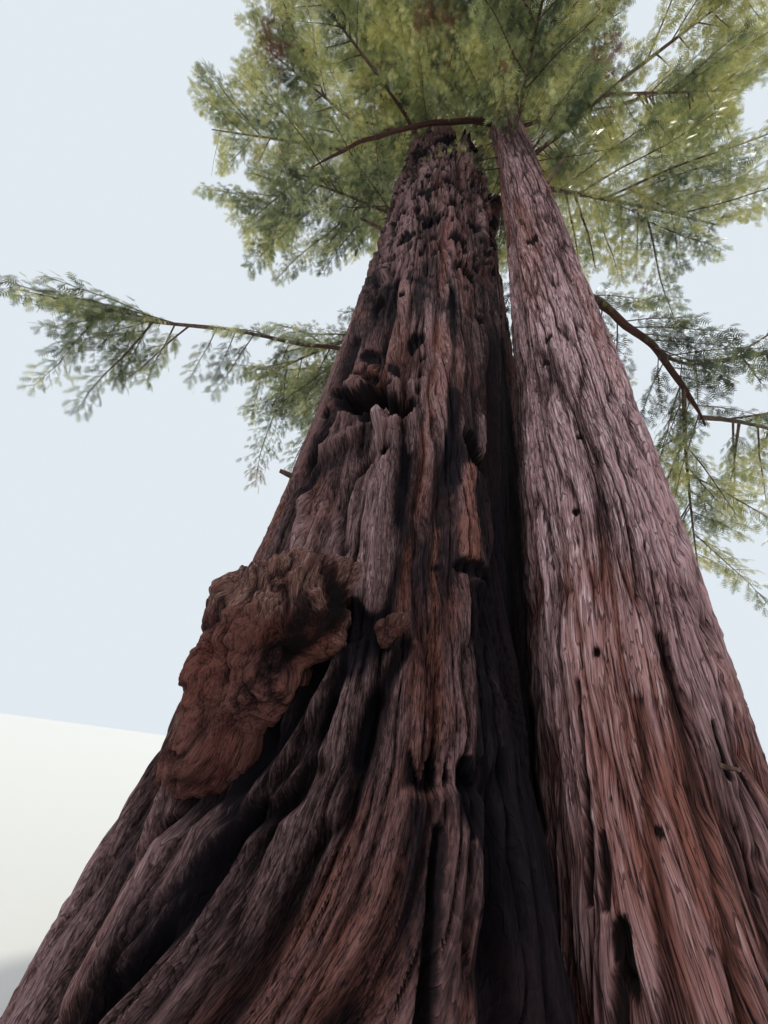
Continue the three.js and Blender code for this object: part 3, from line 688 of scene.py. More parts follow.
# %% Relief of the old trunk
# How deep each size of relief is, in metres, and how much deeper two of them are near the ground
BROAD_DEPTH, FOLD_DEPTH, RIDGE_DEPTH, SPLIT_DEPTH = 0.120, 0.095, 0.062, 0.028
STRIP_DEPTH, FIBRE_DEPTH, LOW_RIDGE, LOW_SPLIT = 0.020, 0.014, 0.030, 0.028
# The side of the burl, where folds are calmer below it: its heading and width
BURL_SIDE, BURL_WIDTH = math.radians(-110), math.radians(32)


class Bark:
    """A wall's radius and its marks, changed together by all that has shaped the bark."""

    def __init__(self, wall, deep, char, warm, grey_and_light):
        self.wall, self.deep, self.char, self.warm, self.grey_and_light = wall, deep, char, warm, grey_and_light

    def cut(self, depth, char=0.0, shade=0.0):
        """Takes some wall away, darkens what is left with char that is partly painted shade, and paints on
        it the shade of a furrow's bottom.
        """
        self.wall = self.wall - depth
        self.char = self.char + char
        self.deep = self.deep * (1 - shade)


def furrowed(turn, along, z):
    """The relief of folds, ridges, splits, strips and fibres, how open it is, and its folds."""
    broad = crease(waves(3, along, z, 14, 5.0), 1.6, 0.9)
    fold = crease(waves(13, along, z, 30, 2.6), 1.8, 0.8)
    ridge = crease(waves(4, along, z, 84, 1.5), 2.6, 0.6)
    strip = shingle(waves(5, along, z, 90, 1.0), 6)
    fibre = waves(6, along, z, 420, 0.2)
    split = crease(waves(14, along, z, 200, 1.0), 2.6, 0.6)
    burl_side = np.exp(-(apart(turn, BURL_SIDE) / BURL_WIDTH) ** 2)
    calm = 1 - 0.55 * ease(2.7, 1.9, z) * burl_side
    low = ease(3.2, 1.8, z)
    relief = calm * (BROAD_DEPTH * (broad - 0.65) + FOLD_DEPTH * (fold - 0.65))
    relief = relief + (RIDGE_DEPTH + LOW_RIDGE * low) * (ridge - 0.8)
    relief = relief + (SPLIT_DEPTH + LOW_SPLIT * low) * (split - 0.8)
    relief = relief + STRIP_DEPTH * (strip - 0.5) + FIBRE_DEPTH * (fibre - 0.5)
    deep = (0.5 + 0.5 * broad) * (0.3 + 0.7 * fold) * (0.12 + 0.88 * ridge) * (0.28 + 0.72 * split)
    deep = deep * (0.6 + 0.4 * strip) * (0.92 + 0.4 * ease(2, 4.5, z))
    return relief, deep, fold * broad


# %% What has burnt, weathered and come off


def scorch_and_shade(turn, along, z, hidden, wild, folded):
    """The char mark: burnt patches, and char with painted shade deep in the cleft between the two stems and
    in the bottoms of the folds.
    """
    degrees = np.degrees(turn)
    burn = 0.62 * waves(7, along, z, 18, 1.8) + 0.38 * waves(17, along, z, 50, 0.5)
    front = ease(-100, -84, degrees) * ease(-40, -60, degrees) * ease(1.2, 2.4, z) * ease(12, 8, z)
    scorched = -0.10 * wild + 0.04 * front
    char = ease(0.6, 1, hidden) * (0.4 + 0.6 * ease(9, 5, z)) + 0.4 * ease(0.54, 0.72, burn + scorched)
    return char + 0.3 * ease(0.5, 0.1, folded)


def break_up(bark, turn, along, z, wild):
    """Small pocks and lifted flakes where the bark is gnarled."""
    pock = ease(0.30, 0.16, waves(28, turn, z, 105, 0.15)) * wild
    flake = ease(0.66, 0.80, waves(29, along, z, 80, 0.26)) * wild
    bark.cut(0.045 * pock, 0.8 * pock, 0.5 * pock)
    bark.wall = bark.wall + 0.030 * flake + 0.05 * wild * sway(30, turn, z, 52, 0.22)
    bark.grey_and_light = bark.grey_and_light + 0.8 * flake


def hollow_out(bark, turn, z, radius):
    for row in HOLLOWS:
        heading, height, wide, tall, depth = row
        near = np.abs(apart(turn, math.radians(heading))) * radius < wide * 1.2
        near = near & (np.abs(z - height) < tall)
        inside = np.zeros(len(z))
        inside[near] = pit(turn[near], z[near], radius[near], row)
        # Char and painted shade darken each hollow inside.
        bark.cut(depth * inside, 1.6 * ease(0, 0.14, inside), 0.95 * inside)


def cut_furrows(bark, turn, z, radius):
    for points, wide, depth, darkness in FURROWS:
        inside = groove(turn, z, radius, points, wide)
        # Char and painted shade darken each furrow's bottom.
        bark.cut(depth * inside, 0.6 * darkness * inside, 0.6 * inside)


def strip_off(bark, turn, along, z, radius):
    for points, wide, depth in STRIPS:
        inside = stroke(turn, z, radius, points, wide)
        bark.wall = bark.wall - depth * inside
        bark.warm = bark.warm + 0.6 * inside * ease(0.25, 0.5, waves(19, along, z, 200, 0.5))
        bark.char = bark.char * (1 - 0.8 * inside)


def break_block(bark, turn, z):
    """The square, charred block at the foot, with the ledge that overhangs it; the ledge's recess is
    painted black as its shade.
    """
    degrees = np.degrees(turn)
    edge = 1.42 + 0.14 * sway(18, turn, z * 0, 130, 1)
    hem = 1.53 + 0.22 * sway(20, turn, z * 0, 330, 1)
    front = ease(-92, -88, degrees) * ease(-73, -78, degrees)
    block = front * ease(0.0, 0.05, edge - z) * ease(0.2, 0.9, z)
    ledge = front * ease(0, 0.03, hem - z) * ease(-0.02, 0.03, z - edge)
    bark.wall = bark.wall + 0.05 * block - 0.09 * ledge
    # The ledge's recess is painted black as shade, counted as char; the block itself is charred.
    bark.char = bark.char + 1.1 * ledge + 0.62 * block


def stain(bark, turn, z, radius):
    for points, wide, darkness, orange, bleached, raised in STAINS:
        inside = stroke(turn, z, radius, points, wide)
        bark.wall, bark.char = bark.wall + raised * inside, bark.char + darkness * inside
        bark.warm, bark.grey_and_light = bark.warm + orange * inside, bark.grey_and_light + bleached * inside
        bark.deep = bark.deep + 0.35 * min(bleached, 2) * inside


# Where the black of the cleft, char and painted shade, begins on the old trunk, by height
VOID_HEIGHTS = (0, 0.75, 1.04, 1.45, 1.67, 2.4, 2.8, 3.3, 3.9, 4.6, 5.6, 7.0)
VOID_EDGES = (-80, -78.1, -76.9, -74.9, -72.5, -72.7, -70.5, -67.3, -65.1, -62.6, -58.6, -55)


def blacken_cleft(bark, turn, z):
    edge = np.interp(z, VOID_HEIGHTS, VOID_EDGES) + 3 * sway(25, turn * 0, z, 4, 0.35)
    degrees = np.degrees(turn)
    void = ease(-1.5, 2.5, degrees - edge) * ease(-20, -40, degrees) * ease(7.5, 5, z)
    # The cleft is painted black, partly char and partly shade.
    bark.cut(0.13 * void, void * (0.5 + 0.7 * ease(4.6, 3.2, z)), 0.5 * void)


# %% The old trunk's skin, up to its shoulder


def old_wall(turn, z):
    """Radius of the old trunk's skin, and its marks."""
    radius = bole_radius(z)
    wild = gnarled(turn, z)
    along = wandering_grain(turn, z, wild)
    hidden = sheltered(turn, z)
    relief, deep, folded = furrowed(turn, along, z)
    size = 0.65 + 0.35 * np.exp(-z / 6)
    bark = Bark(
        wall=radius + bole_folds(turn, z) + relief * size * (1 - 0.6 * hidden),
        deep=deep,
        char=scorch_and_shade(turn, along, z, hidden, wild, folded),
        warm=0.6 * ease(0.55, 0.75, waves(9, along, z, 26, 2.6)) * (1 - 0.6 * wild),
        grey_and_light=ease(0.3, 0.7, waves(10, along, z, 14, 2.2)) + 0.7 * ease(9, 13, z),
    )
    break_up(bark, turn, along, z, wild)
    hollow_out(bark, turn, z, radius)
    cut_furrows(bark, turn, z, radius)
    strip_off(bark, turn, along, z, radius)
    break_block(bark, turn, z)
    blocky = shingle(waves(24, along, z, 34, 0.9), 3, 0.3) * ease(6.5, 9, z)
    bark.wall = bark.wall + 0.07 * (blocky - 0.5 * ease(6.5, 9, z))
    stain(bark, turn, z, radius)
    blacken_cleft(bark, turn, z)
    wall = np.minimum(bark.wall, cleft_reach(turn, z) + 0.3 * relief)
    return wall, {
        "deep": np.clip(bark.deep, 0, 1), "char": np.clip(bark.char, 0, 1),
        "warm": np.clip(bark.warm, 0, 1),
        "grey_and_light": np.clip(bark.grey_and_light, 0, 1.2) + np.maximum(0, bark.grey_and_light - 3),
        "grain": grain_place(radius, along, z),
    }


FRONT = math.radians(-100)
OLD_COLUMNS = 620
FOOT_TOP, MIDDLE_TOP = 3.2, 8.4


def face_forward(turn):
    """Headings that stand closer together on the tree's front, where more detail shows."""
    return FRONT + turn - 0.5 * np.sin(turn)


def old_skin(name, low, high, rows):
    def place(turn, rise, share):
        heading = face_forward(turn)
        z = low + (high - low) * rise
        wall, marks = old_wall(heading, z)
        return stand_off(bole_axis(z), heading, wall * share), marks
    return dress(skin(name, OLD_COLUMNS, rows, place), old_bark, "old_bark", "old_trunk")


old_skin("old_trunk_foot", 0.0, FOOT_TOP, 150)
old_skin("old_trunk_middle", FOOT_TOP, MIDDLE_TOP, 110)

# %% [markdown]
# ## The broken shoulder
# The old trunk broke off long ago. Its rim is a ring of charred splinters round a shallow bowl,
# and the leader that took over rises out of that bowl.

# %% Shoulder and bowl
SHOULDER = 15.5
RIM_ROWS = 104
BOWL_ROWS = 12


def rim_height(turn):
    rag = 0.4 * np.sin(2 * turn + math.pi / 2) + 0.5 * np.sin(5 * turn + 1.2) + 0.35 * np.sin(11 * turn)
    return SHOULDER + 0.65 * rag


def splinters(turn):
    spikes = 0.55 * waves(21, turn, turn * 0, 60, 1) ** 2 + 0.3 * waves(22, turn, turn * 0, 140, 1) ** 2
    return spikes - 0.25


def place_shoulder(turn, rise, share):
    heading = face_forward(turn)
    row = rise * (RIM_ROWS + BOWL_ROWS)
    up = np.clip(row / RIM_ROWS, 0, 1)
    inward = np.clip((row - RIM_ROWS) / BOWL_ROWS, 0, 1)
    top = rim_height(heading) + splinters(heading)
    z = MIDDLE_TOP + (top - MIDDLE_TOP) * up
    wall, marks = old_wall(heading, z)
    hole = ease(0.74, 0.86, waves(23, heading, z, 34, 0.55)) * ease(8.6, 10.5, z)
    wall = wall - 0.10 * hole
    marks["char"] = np.clip(marks["char"] + hole + 0.5 * ease(13.6, 15.2, z), 0, 1)
    marks["char"] = np.maximum(marks["char"], ease(0, 0.2, inward))
    wall = wall * (1 - 0.30 * ease(0, 1, inward))
    z = z - (z - (SHOULDER - 0.55)) * ease(0, 0.8, inward)
    return stand_off(bole_axis(z), heading, wall * share), marks


shoulder = skin("old_trunk_shoulder", OLD_COLUMNS, RIM_ROWS + BOWL_ROWS, place_shoulder)
dress(shoulder, old_bark, "old_bark", "old_trunk")

# %% [markdown]
# ## The leader and the young stem
# Both are younger, so their bark is thinner and lies in long interlaced strips. The young stem
# has shallow lobes that turn with height, toes at its root, and slits where strips stand off.

# %% Leader
LEADER_FOOT, LEADER_TOP = 13.6, 37.9
LEADER_THICK, LEADER_THIN = 0.960, 0.045


def leader_axis(z):
    t = np.clip((z - LEADER_FOOT) / (LEADER_TOP - LEADER_FOOT), 0, 1)
    lean = -1.250 * (1 - np.exp(-(z - LEADER_FOOT) / 12))
    return np.stack([BOLE_LEAN + lean, 0.260 * np.minimum(1, t / 0.125), z], axis=-1)


def leader_radius(z):
    t = np.clip((z - LEADER_FOOT) / (LEADER_TOP - LEADER_FOOT), 0, 1)
    return LEADER_THICK + (LEADER_THIN - LEADER_THICK) * t**1.15


def strip_bark(turn, z, cells, seed):
    """Relief from 0 to 1 and depth marks of younger bark, with so many strips round the stem."""
    along = turn + 0.06 * z
    along = along + 0.22 * sway(seed, along, z, 7, 1.8) + 0.07 * sway(seed + 1, along, z, 22, 0.6)
    along = along + 0.018 * sway(seed + 6, along, z, 60, 0.16)
    fold = crease(waves(seed + 2, along, z, max(6, cells // 5), 4.0), 1.7, 0.8)
    ridge = crease(waves(seed + 3, along, z, int(cells * 1.7), 1.1), 2.6, 0.6)
    strip = shingle(waves(seed + 4, along, z, int(cells * 1.4), 0.9), 5)
    fibre = waves(seed + 5, along, z, cells * 7, 0.16)
    return along, fold, ridge, strip, fibre


def place_leader(turn, rise, share):
    z = LEADER_FOOT + (LEADER_TOP - LEADER_FOOT) * rise
    radius = leader_radius(z)
    along, fold, ridge, strip, _ = strip_bark(turn, z, 24, 31)
    thin = radius / LEADER_THICK
    wall = radius + thin * (0.05 * (fold - 0.7) + 0.03 * (ridge - 0.6) + 0.012 * (strip - 0.6))
    return stand_off(leader_axis(z), turn, wall * share), {
        "deep": fold**0.4 * (0.15 + 0.85 * ridge) * (0.6 + 0.4 * strip),
        "char": 0.25 + 0.6 * ease(17.5, 15, z),
        "warm": ease(0.55, 0.8, waves(38, along, z, 9, 2)) * 0.4,
        "grey_and_light": 0.5 + 0 * z,
        "grain": grain_place(radius, along, z),
    }


dress(skin("leader", 150, 150, place_leader), old_bark, "old_bark", "old_trunk")

# %% Wall of the young stem
# Pits, darkened inside with char and painted shade: heading, height, width, height, depth
YOUNG_PITS = (
    (-140.1, 5.65, 0.09, 0.10, 0.04), (-134.4, 3.50, 0.08, 0.10, 0.04), (-134.7, 2.31, 0.045, 0.06, 0.04),
    (-120, 1.36, 0.035, 0.05, 0.04), (-142, 0.84, 0.11, 0.32, 0.08), (-132.4, 6.04, 0.08, 0.10, 0.04),
    (-120.3, 4.32, 0.08, 0.10, 0.04), (-129.9, 8.70, 0.16, 0.22, 0.05),
)
# Slits, darkened inside with char and painted shade: points of heading and height, width, depth, how dark
YOUNG_SLITS = (
    (((-148, 2.12), (-148.8, 1.62), (-149.8, 1.31), (-153.4, 1.0)), 0.06, 0.07, 1.0),
    (((-144, 1.30), (-146, 1.0)), 0.05, 0.05, 0.9),
    (((-85.3, 1.92), (-85.2, 1.66)), 0.05, 0.05, 0.9),
    (((-88, 1.42), (-88.8, 1.20)), 0.06, 0.06, 0.9),
    (((-143, 0.75), (-147, 0.45), (-149, 0.1)), 0.08, 0.07, 0.8),
    (((-118, 2.0), (-124, 1.2), (-128, 0.6), (-131, 0)), 0.09, 0.05, 0.5),
    (((-100, 2.4), (-103, 1.5), (-108, 0.7), (-112, 0)), 0.10, 0.05, 0.4),
)


def young_wall(turn, z):
    """Radius of the young stem's skin, and its marks."""
    lobes = 0.045 * np.cos(4 * turn + z / 2.6) + 0.03 * np.cos(7 * turn)
    flare = 0.380 * np.exp(-z / 0.33) * (1 + 0.25 * np.cos(5 * turn))
    radius = young_radius(z)
    along, fold, ridge, strip, fibre = strip_bark(turn, z, 30, 41)
    thin = np.clip(radius / 0.6, 0.2, 1.1)
    relief = 0.050 * (fold - 0.7) + 0.048 * (ridge - 0.8) + 0.018 * (strip - 0.5) + 0.008 * (fibre - 0.5)
    cracks = crease(waves(44, along, z, 110, 0.8), 2.6, 0.6)
    relief = relief + 0.022 * (cracks - 0.8)
    deep = fold**0.2 * (0.08 + 0.92 * ridge) * (0.3 + 0.7 * cracks) * (0.6 + 0.4 * strip)
    warm = waves(48, along, z, 14, 1.4) + 0.22 * ease(3.4, 0.6, z)
    grey_and_light = ease(0.3, 0.7, waves(49, along, z, 10, 1.6)) * 0.7
    # Painted light makes the stem lighter between about 2 and 8 m through its deep and grey marks, and
    # painted shade, counted as char, darkens the lower right side of its foot.
    bark = Bark(
        wall=radius * (1 + lobes) + flare + relief * thin,
        deep=deep * (0.64 + 0.52 * ease(1.0, 3.4, z) - 0.40 * ease(5, 9, z)),
        char=0.5 * ease(-112, -92, np.degrees(turn)) * ease(3.0, 1.2, z),
        warm=0.6 * ease(0.53, 0.78, warm) + 0.3 * ease(3.4, 1.2, z),
        grey_and_light=grey_and_light + ease(1.8, 3.6, z) - 0.6 * ease(6, 10, z),
    )
    for row in YOUNG_PITS:
        inside = pit(turn, z, radius, row)
        bark.cut(row[4] * inside, 1.2 * ease(0, 0.3, inside), 0.8 * inside)
    for points, wide, depth, darkness in YOUNG_SLITS:
        inside = stroke(turn, z, radius, points, wide)
        bark.cut(depth * inside, darkness * inside, 0.9 * inside)
    # Painted shade, counted as char, darkens the side that faces the old trunk across the cleft.
    facing = np.cos(turn - (CLEFT_HEADING + math.pi))
    bark.char = bark.char + 0.8 * ease(0.75, 0.97, facing) * ease(9, 5, z)
    return bark.wall, {
        "deep": np.clip(bark.deep, 0, 1), "char": np.clip(bark.char, 0, 1),
        "warm": bark.warm, "grey_and_light": np.clip(bark.grey_and_light, 0, 1.5),
        "grain": grain_place(radius, along, z),
    }


YOUNG_FOOT_TOP, YOUNG_MIDDLE_TOP = 3.6, 12.0


def young_skin(name, low, high, columns, rows):
    def place(turn, rise, share):
        heading = face_forward(turn) if low < YOUNG_MIDDLE_TOP else turn
        z = low + (high - low) * rise
        wall, marks = young_wall(heading, z)
        return stand_off(young_axis(z), heading, wall * share), marks
    return dress(skin(name, columns, rows, place), young_bark, "young_bark", "young_stem")


young_skin("young_stem_foot", 0.0, YOUNG_FOOT_TOP, 440, 170)
young_skin("young_stem_middle", YOUNG_FOOT_TOP, YOUNG_MIDDLE_TOP, 440, 140)
young_skin("young_stem_top", YOUNG_MIDDLE_TOP, YOUNG_TOP, 240, 120)

# %% [markdown]
# ## Swollen wood
# The burl is a great knot of buried buds on the old trunk's left, and its grain swirls. Sculpting
# it would be the usual way, but a script is easier to change. So a ball's points move out to the
# skin of six lumps that melt together, and then by noise in space that is itself bent by noise.
# Under its shelf lies a hollow that is painted dark as shade, and dead fibres lie on top of it.
# The snapped limb and the small burl are made the same way.

# %% Lumps


def level(angle):
    """The level direction at an angle from +X towards +Y."""
    return np.array([math.cos(angle), math.sin(angle), 0])


def on_trunk(heading, height, wall):
    """The frame at a place on the old trunk: its middle, then out, across and up."""
    a = math.radians(heading)
    out = level(a)
    side = np.array([-math.sin(a), math.cos(a), 0])
    return out * wall + np.array([0, 0, height]), out, side, np.array([0, 0, 1.0])


def lump_depth(points, lumps, blend):
    """Below 0 inside lumps that melt into each other."""
    total = 0
    for heading, height, out_size, side_size, tall, droop in lumps:
        middle, out, side, up = on_trunk(heading, height, float(bole_radius(height)))
        off = points - middle
        a, b, c = off @ out / out_size, off @ side / side_size, off @ up
        c = (c - b * droop * side_size) / tall
        size = min(out_size, side_size, tall)
        total = total + np.exp(-(np.sqrt(a * a + b * b + c * c) - 1) * size / blend)
    return -np.log(np.maximum(total, 1e-30)) * blend


def lump_reach(middle, ways, lumps, blend):
    """How far the lumps' skin lies from their middle along each way, by steps and halvings."""
    reach = np.zeros(len(ways))
    step = 0.02
    for k in range(70):
        depth = lump_depth(middle + ways * (k * step), lumps, blend)
        reach = np.where(depth < 0, k * step, reach)
    for _ in range(7):
        step /= 2
        depth = lump_depth(middle + ways * (reach + step)[:, None], lumps, blend)
        reach = np.where(depth < 0, reach + step, reach)
    return reach


UNDER_HEADING, UNDER_HEIGHT = -113, 1.95


def under_shelf(base, seed):
    """1 in the hollow under the burl's shelf."""
    low_side = on_trunk(UNDER_HEADING, UNDER_HEIGHT, float(bole_radius(UNDER_HEIGHT)) + 0.18)[0]
    far = np.linalg.norm(base - low_side, axis=1) + 0.16 * (cloud(seed, base, 0.09) - 0.5)
    return ease(0.27, 0.14, far)


# %% Lump pieces


def lump_piece(name, lumps, blend, seed, swirl, detail, node, material, slot, shelf=False):
    start_fresh()
    heading, height = np.mean([row[0] for row in lumps]), np.mean([row[1] for row in lumps])
    middle, out, side, up = on_trunk(heading, height, float(bole_radius(height)))
    bpy.ops.mesh.primitive_ico_sphere_add(subdivisions=detail, radius=1)
    piece = bpy.context.object
    piece.name = piece.data.name = name
    ways = read_points(piece.data)
    ways = ways / np.linalg.norm(ways, axis=1)[:, None]
    reach = lump_reach(middle, ways, lumps, blend)
    base = middle + ways * reach[:, None]
    bent = base + swirl * (np.stack([cloud(seed + k, base, 0.30) for k in range(3)], axis=1) - 0.5)
    flow = bent @ np.array([out, side, up]).T
    knobs = 0.6 * cloud(seed + 4, base, 0.26) + 0.4 * cloud(seed + 10, base, 0.10)
    grooves = crease(cloud(seed + 5, flow * [1, 1, 0.35], 0.10), 2.6, 0.6)
    wrinkles = crease(cloud(seed + 6, flow * [1, 1, 0.4], 0.035), 2.4, 0.6)
    size = max(0.6, min(1, np.mean([row[2] for row in lumps]) / 0.3))
    litter = ease(0.2, 0.55, ways[:, 2]) if shelf else 0 * reach
    under = under_shelf(base, seed + 12) if shelf else 0 * reach
    relief = size * (0.19 * (knobs - 0.5) + 0.026 * (grooves - 0.8) + 0.016 * (wrinkles - 0.8))
    relief = relief + size * 0.045 * (cloud(seed + 11, base, 0.045) - 0.5)
    relief = relief - 0.07 * under + litter * 0.07 * (cloud(seed + 9, base, 0.05) - 0.5)
    move_points(piece.data, base + ways * relief[:, None])
    # The low places between the knobs are darker through the deep and char marks, with char and painted
    # shade, and the hollow under the shelf is painted dark as shade.
    deep = (0.02 + 0.98 * grooves) * (0.2 + 0.8 * wrinkles) * ease(0.26, 0.62, knobs) * 1.05
    char = 0.7 * ease(0.46, 0.27, knobs) + 0.8 * under**2 + (0 if shelf else 0.55)
    grey_and_light = 0.4 * ease(0.4, 0.7, cloud(seed + 8, base, 0.25)) + 1.4 * litter
    add_marks(piece.data, {
        "deep": np.clip(deep, 0, 0.74),
        "char": np.clip(char, 0, 1),
        "warm": 0.7 * ease(0.4, 0.7, cloud(seed + 7, base, 0.3)) * (1 - litter),
        "grey_and_light": np.clip(grey_and_light + 0.6 * ease(-0.2, 0.4, ways[:, 2]), 0, 1.5),
        "grain": bent * [1, 1, 5],
    })
    bpy.ops.object.shade_smooth_by_angle(angle=math.radians(80))
    print(name, "reaches", round(float(reach.max()), 3), "m from its middle")
    return dress(piece, material, slot, node)


# Lumps: heading, height, size out, size across, size up, droop
BURL = (
    (-124, 2.22, 0.480, 0.380, 0.380, 0.10), (-116, 2.46, 0.420, 0.340, 0.200, 0.16),
    (-111, 2.28, 0.330, 0.170, 0.260, 0.0), (-125.5, 1.80, 0.400, 0.210, 0.440, 0.0),
    (-126, 1.44, 0.300, 0.190, 0.200, 0.0), (-119, 1.95, 0.260, 0.14, 0.26, 0.0),
)
SMALL_BURL = ((-94, 2.24, 0.060, 0.090, 0.055, 0.2), (-95.5, 2.19, 0.050, 0.055, 0.085, 0))
SNAPPED = ((-12, 12.4, 0.300, 0.330, 0.900, 0), (-16, 13.0, 0.420, 0.240, 0.300, 0))
lump_piece("burl_wood", BURL, 0.035, 71, 0.30, 7, "burl", burl_bark, "burl_bark", shelf=True)
lump_piece("small_burl_wood", SMALL_BURL, 0.02, 81, 0.12, 6, "small_burl", burl_bark, "burl_bark")
lump_piece("snapped_limb_wood", SNAPPED, 0.08, 91, 0.25, 6, "snapped_limb", old_bark, "old_bark")

# %% [markdown]
# ## Boughs
# Each bough follows the solid's curve, with a few small bends of its own, because a real bough
# has grown towards light over many years. It is a skin like the stems', only finer.

# %% Curves of the limbs
UP = np.array([0, 0, 1.0])


def unit(v):
    return v / np.linalg.norm(v, axis=-1, keepdims=True)


def level_side(along):
    """The level direction to the left of a line; any level direction where the line is upright."""
    return unit(np.cross(UP, along) + np.array([0, 1e-9, 0]))


class Line:
    """A curve through many points, read by its share of length."""

    def __init__(self, points):
        self.points = np.asarray(points, float)
        steps = np.linalg.norm(np.diff(self.points, axis=0), axis=1)
        self.far = np.concatenate([[0], np.cumsum(steps)])
        self.length = self.far[-1]

    def at(self, share):
        far = np.clip(np.asarray(share, float), 0, 1) * self.length
        return np.stack([np.interp(far, self.far, self.points[:, k]) for k in range(3)], axis=-1)

    def ahead(self, share):
        share = np.asarray(share, float)
        return unit(self.at(share + 0.005) - self.at(np.minimum(share, 1) - 0.005))


def limb_line(root, turn, reach, rise, bow=0.0, sag=0.0):
    out = level(math.radians(turn)) * reach
    tip = root + out + UP * rise
    bend = (root + tip) / 2 + level_side(out) * bow * 2 - UP * sag * 2
    t = np.linspace(0, 1, 201)[:, None]
    return Line((1 - t) ** 2 * root + 2 * t * (1 - t) * bend + t**2 * tip)


# name, what it grows on, height or share, heading, reach, rise, radius, bow, sag
BOUGHS = (
    ("low_right_bough", "young_stem", 8.4, 18, 2.8, -2.0, 0.085, -0.3, 0),
    ("low_right_side_bough", "low_right_bough", 0.62, 12, 0.85, 0.15, 0.034, 0, 0),
    ("crossing_bough", "young_stem", 16.5, 168, 5.3, -1.5, 0.092, 0.38, 0),
    ("crossing_side_bough", "crossing_bough", 0.55, 184, 1.3, 0.15, 0.038, 0, 0),
    ("rising_right_bough", "young_stem", 13.2, -34, 2.45, 1.6, 0.070, 0, 0.06),
    ("upper_right_bough", "young_stem", 16.0, -15, 2.7, 0.1, 0.060, 0, -0.12),
    ("lone_left_bough", "old_trunk", 7.2, -177, 3.7, -0.05, 0.055, -0.06, -0.12),
    ("back_left_bough", "old_trunk", 10.3, 128, 2.9, 0.25, 0.075, 0, -0.15),
    ("back_right_bough", "young_stem", 10.8, 62, 2.3, -0.35, 0.070, 0, -0.15),
    ("leader_left_bough", "leader", 17.5, -138, 2.7, 0.2, 0.085, 0, -0.15),
)
carriers = {
    "old_trunk": lambda z: bole_axis(np.float64(z)),
    "leader": lambda z: leader_axis(np.float64(z)),
    "young_stem": lambda z: young_axis(np.float64(z)),
}
bough_lines = {}
for name, on, at, turn, reach, rise, radius, bow, sag in BOUGHS:
    line = limb_line(carriers[on](at), turn, reach, rise, bow, sag)
    carriers[name] = line.at
    bough_lines[name] = (line, radius)
print(len(bough_lines), "boughs,", round(sum(line.length for line, _ in bough_lines.values())), "m in all")

# %% Bough skins
BOUGH_GIRTH = 0.8
BOUGH_TAPER = 0.55


def wiggle(line, seed, size, cell):
    """The same line with small bends that fade out at both ends."""
    share = line.far / line.length
    rng = np.random.default_rng(seed)
    count = max(3, int(line.length / cell))
    knots = np.arange(count + 1)
    bends = rng.normal(0, 1, (count + 1, 3))
    smooth = np.stack([np.interp(share * count, knots, bends[:, k]) for k in range(3)], axis=-1)
    for _ in range(6):
        smooth[1:-1] = (smooth[:-2] + smooth[1:-1] * 2 + smooth[2:]) / 4
    fade = np.sin(math.pi * share)[:, None] ** 0.5
    return Line(line.points + smooth * fade * size)


def frames_along(line, share):
    ahead = line.ahead(share)
    side = level_side(ahead)
    return side, np.cross(ahead, side)


def bough_skin(name, line, radius, seed):
    line = wiggle(line, seed, 0.022, 0.5)

    def place(turn, rise, share):
        side, over = frames_along(line, rise)
        z = rise * line.length
        along, _, ridge, strip, _ = strip_bark(turn + z, z * 3, 10, seed)
        knots = 0.25 * ease(0.8, 1.0, waves(seed + 9, turn, z, 3, 0.35))
        size = BOUGH_GIRTH * radius * (1 - BOUGH_TAPER * rise) * (1 + 0.6 * np.exp(-z / 0.25))
        size = size * (1 - 0.55 * ease(0.8, 1.0, rise))
        wall = size * (1 + 0.14 * (ridge - 0.6) + 0.07 * (strip - 0.6) + knots) * share
        points = line.at(rise) + side * (np.cos(turn) * wall)[:, None]
        points = points + over * (np.sin(turn) * wall)[:, None]
        return points, {
            "deep": 0.4 + 0.6 * ridge * strip,
            "char": 0 * z,
            "warm": 0.5 * ease(0.4, 0.7, waves(seed + 8, turn, z, 4, 0.6)),
            "grey_and_light": 0.35 + 0 * z,
            "grain": grain_place(radius, along, z) * [1.5, 1.5, 1],
        }

    piece = skin(name + "_wood", 30, int(line.length / 0.07) + 12, place)
    return dress(piece, bough_bark, "bough_bark", name)


for i, (name, (line, radius)) in enumerate(bough_lines.items()):
    bough_skin(name, line, radius, 200 + i * 20)

# %% [markdown]
# ## Where the foliage grows
# The solid model deals out 39 masses of foliage by a seeded rule: each has a stem with a few
# twigs, and keeps to the space that lies nearer to its own stem than to any other. The same rule,
# with the same dice, is written again here, so the boughs branch in the same places.

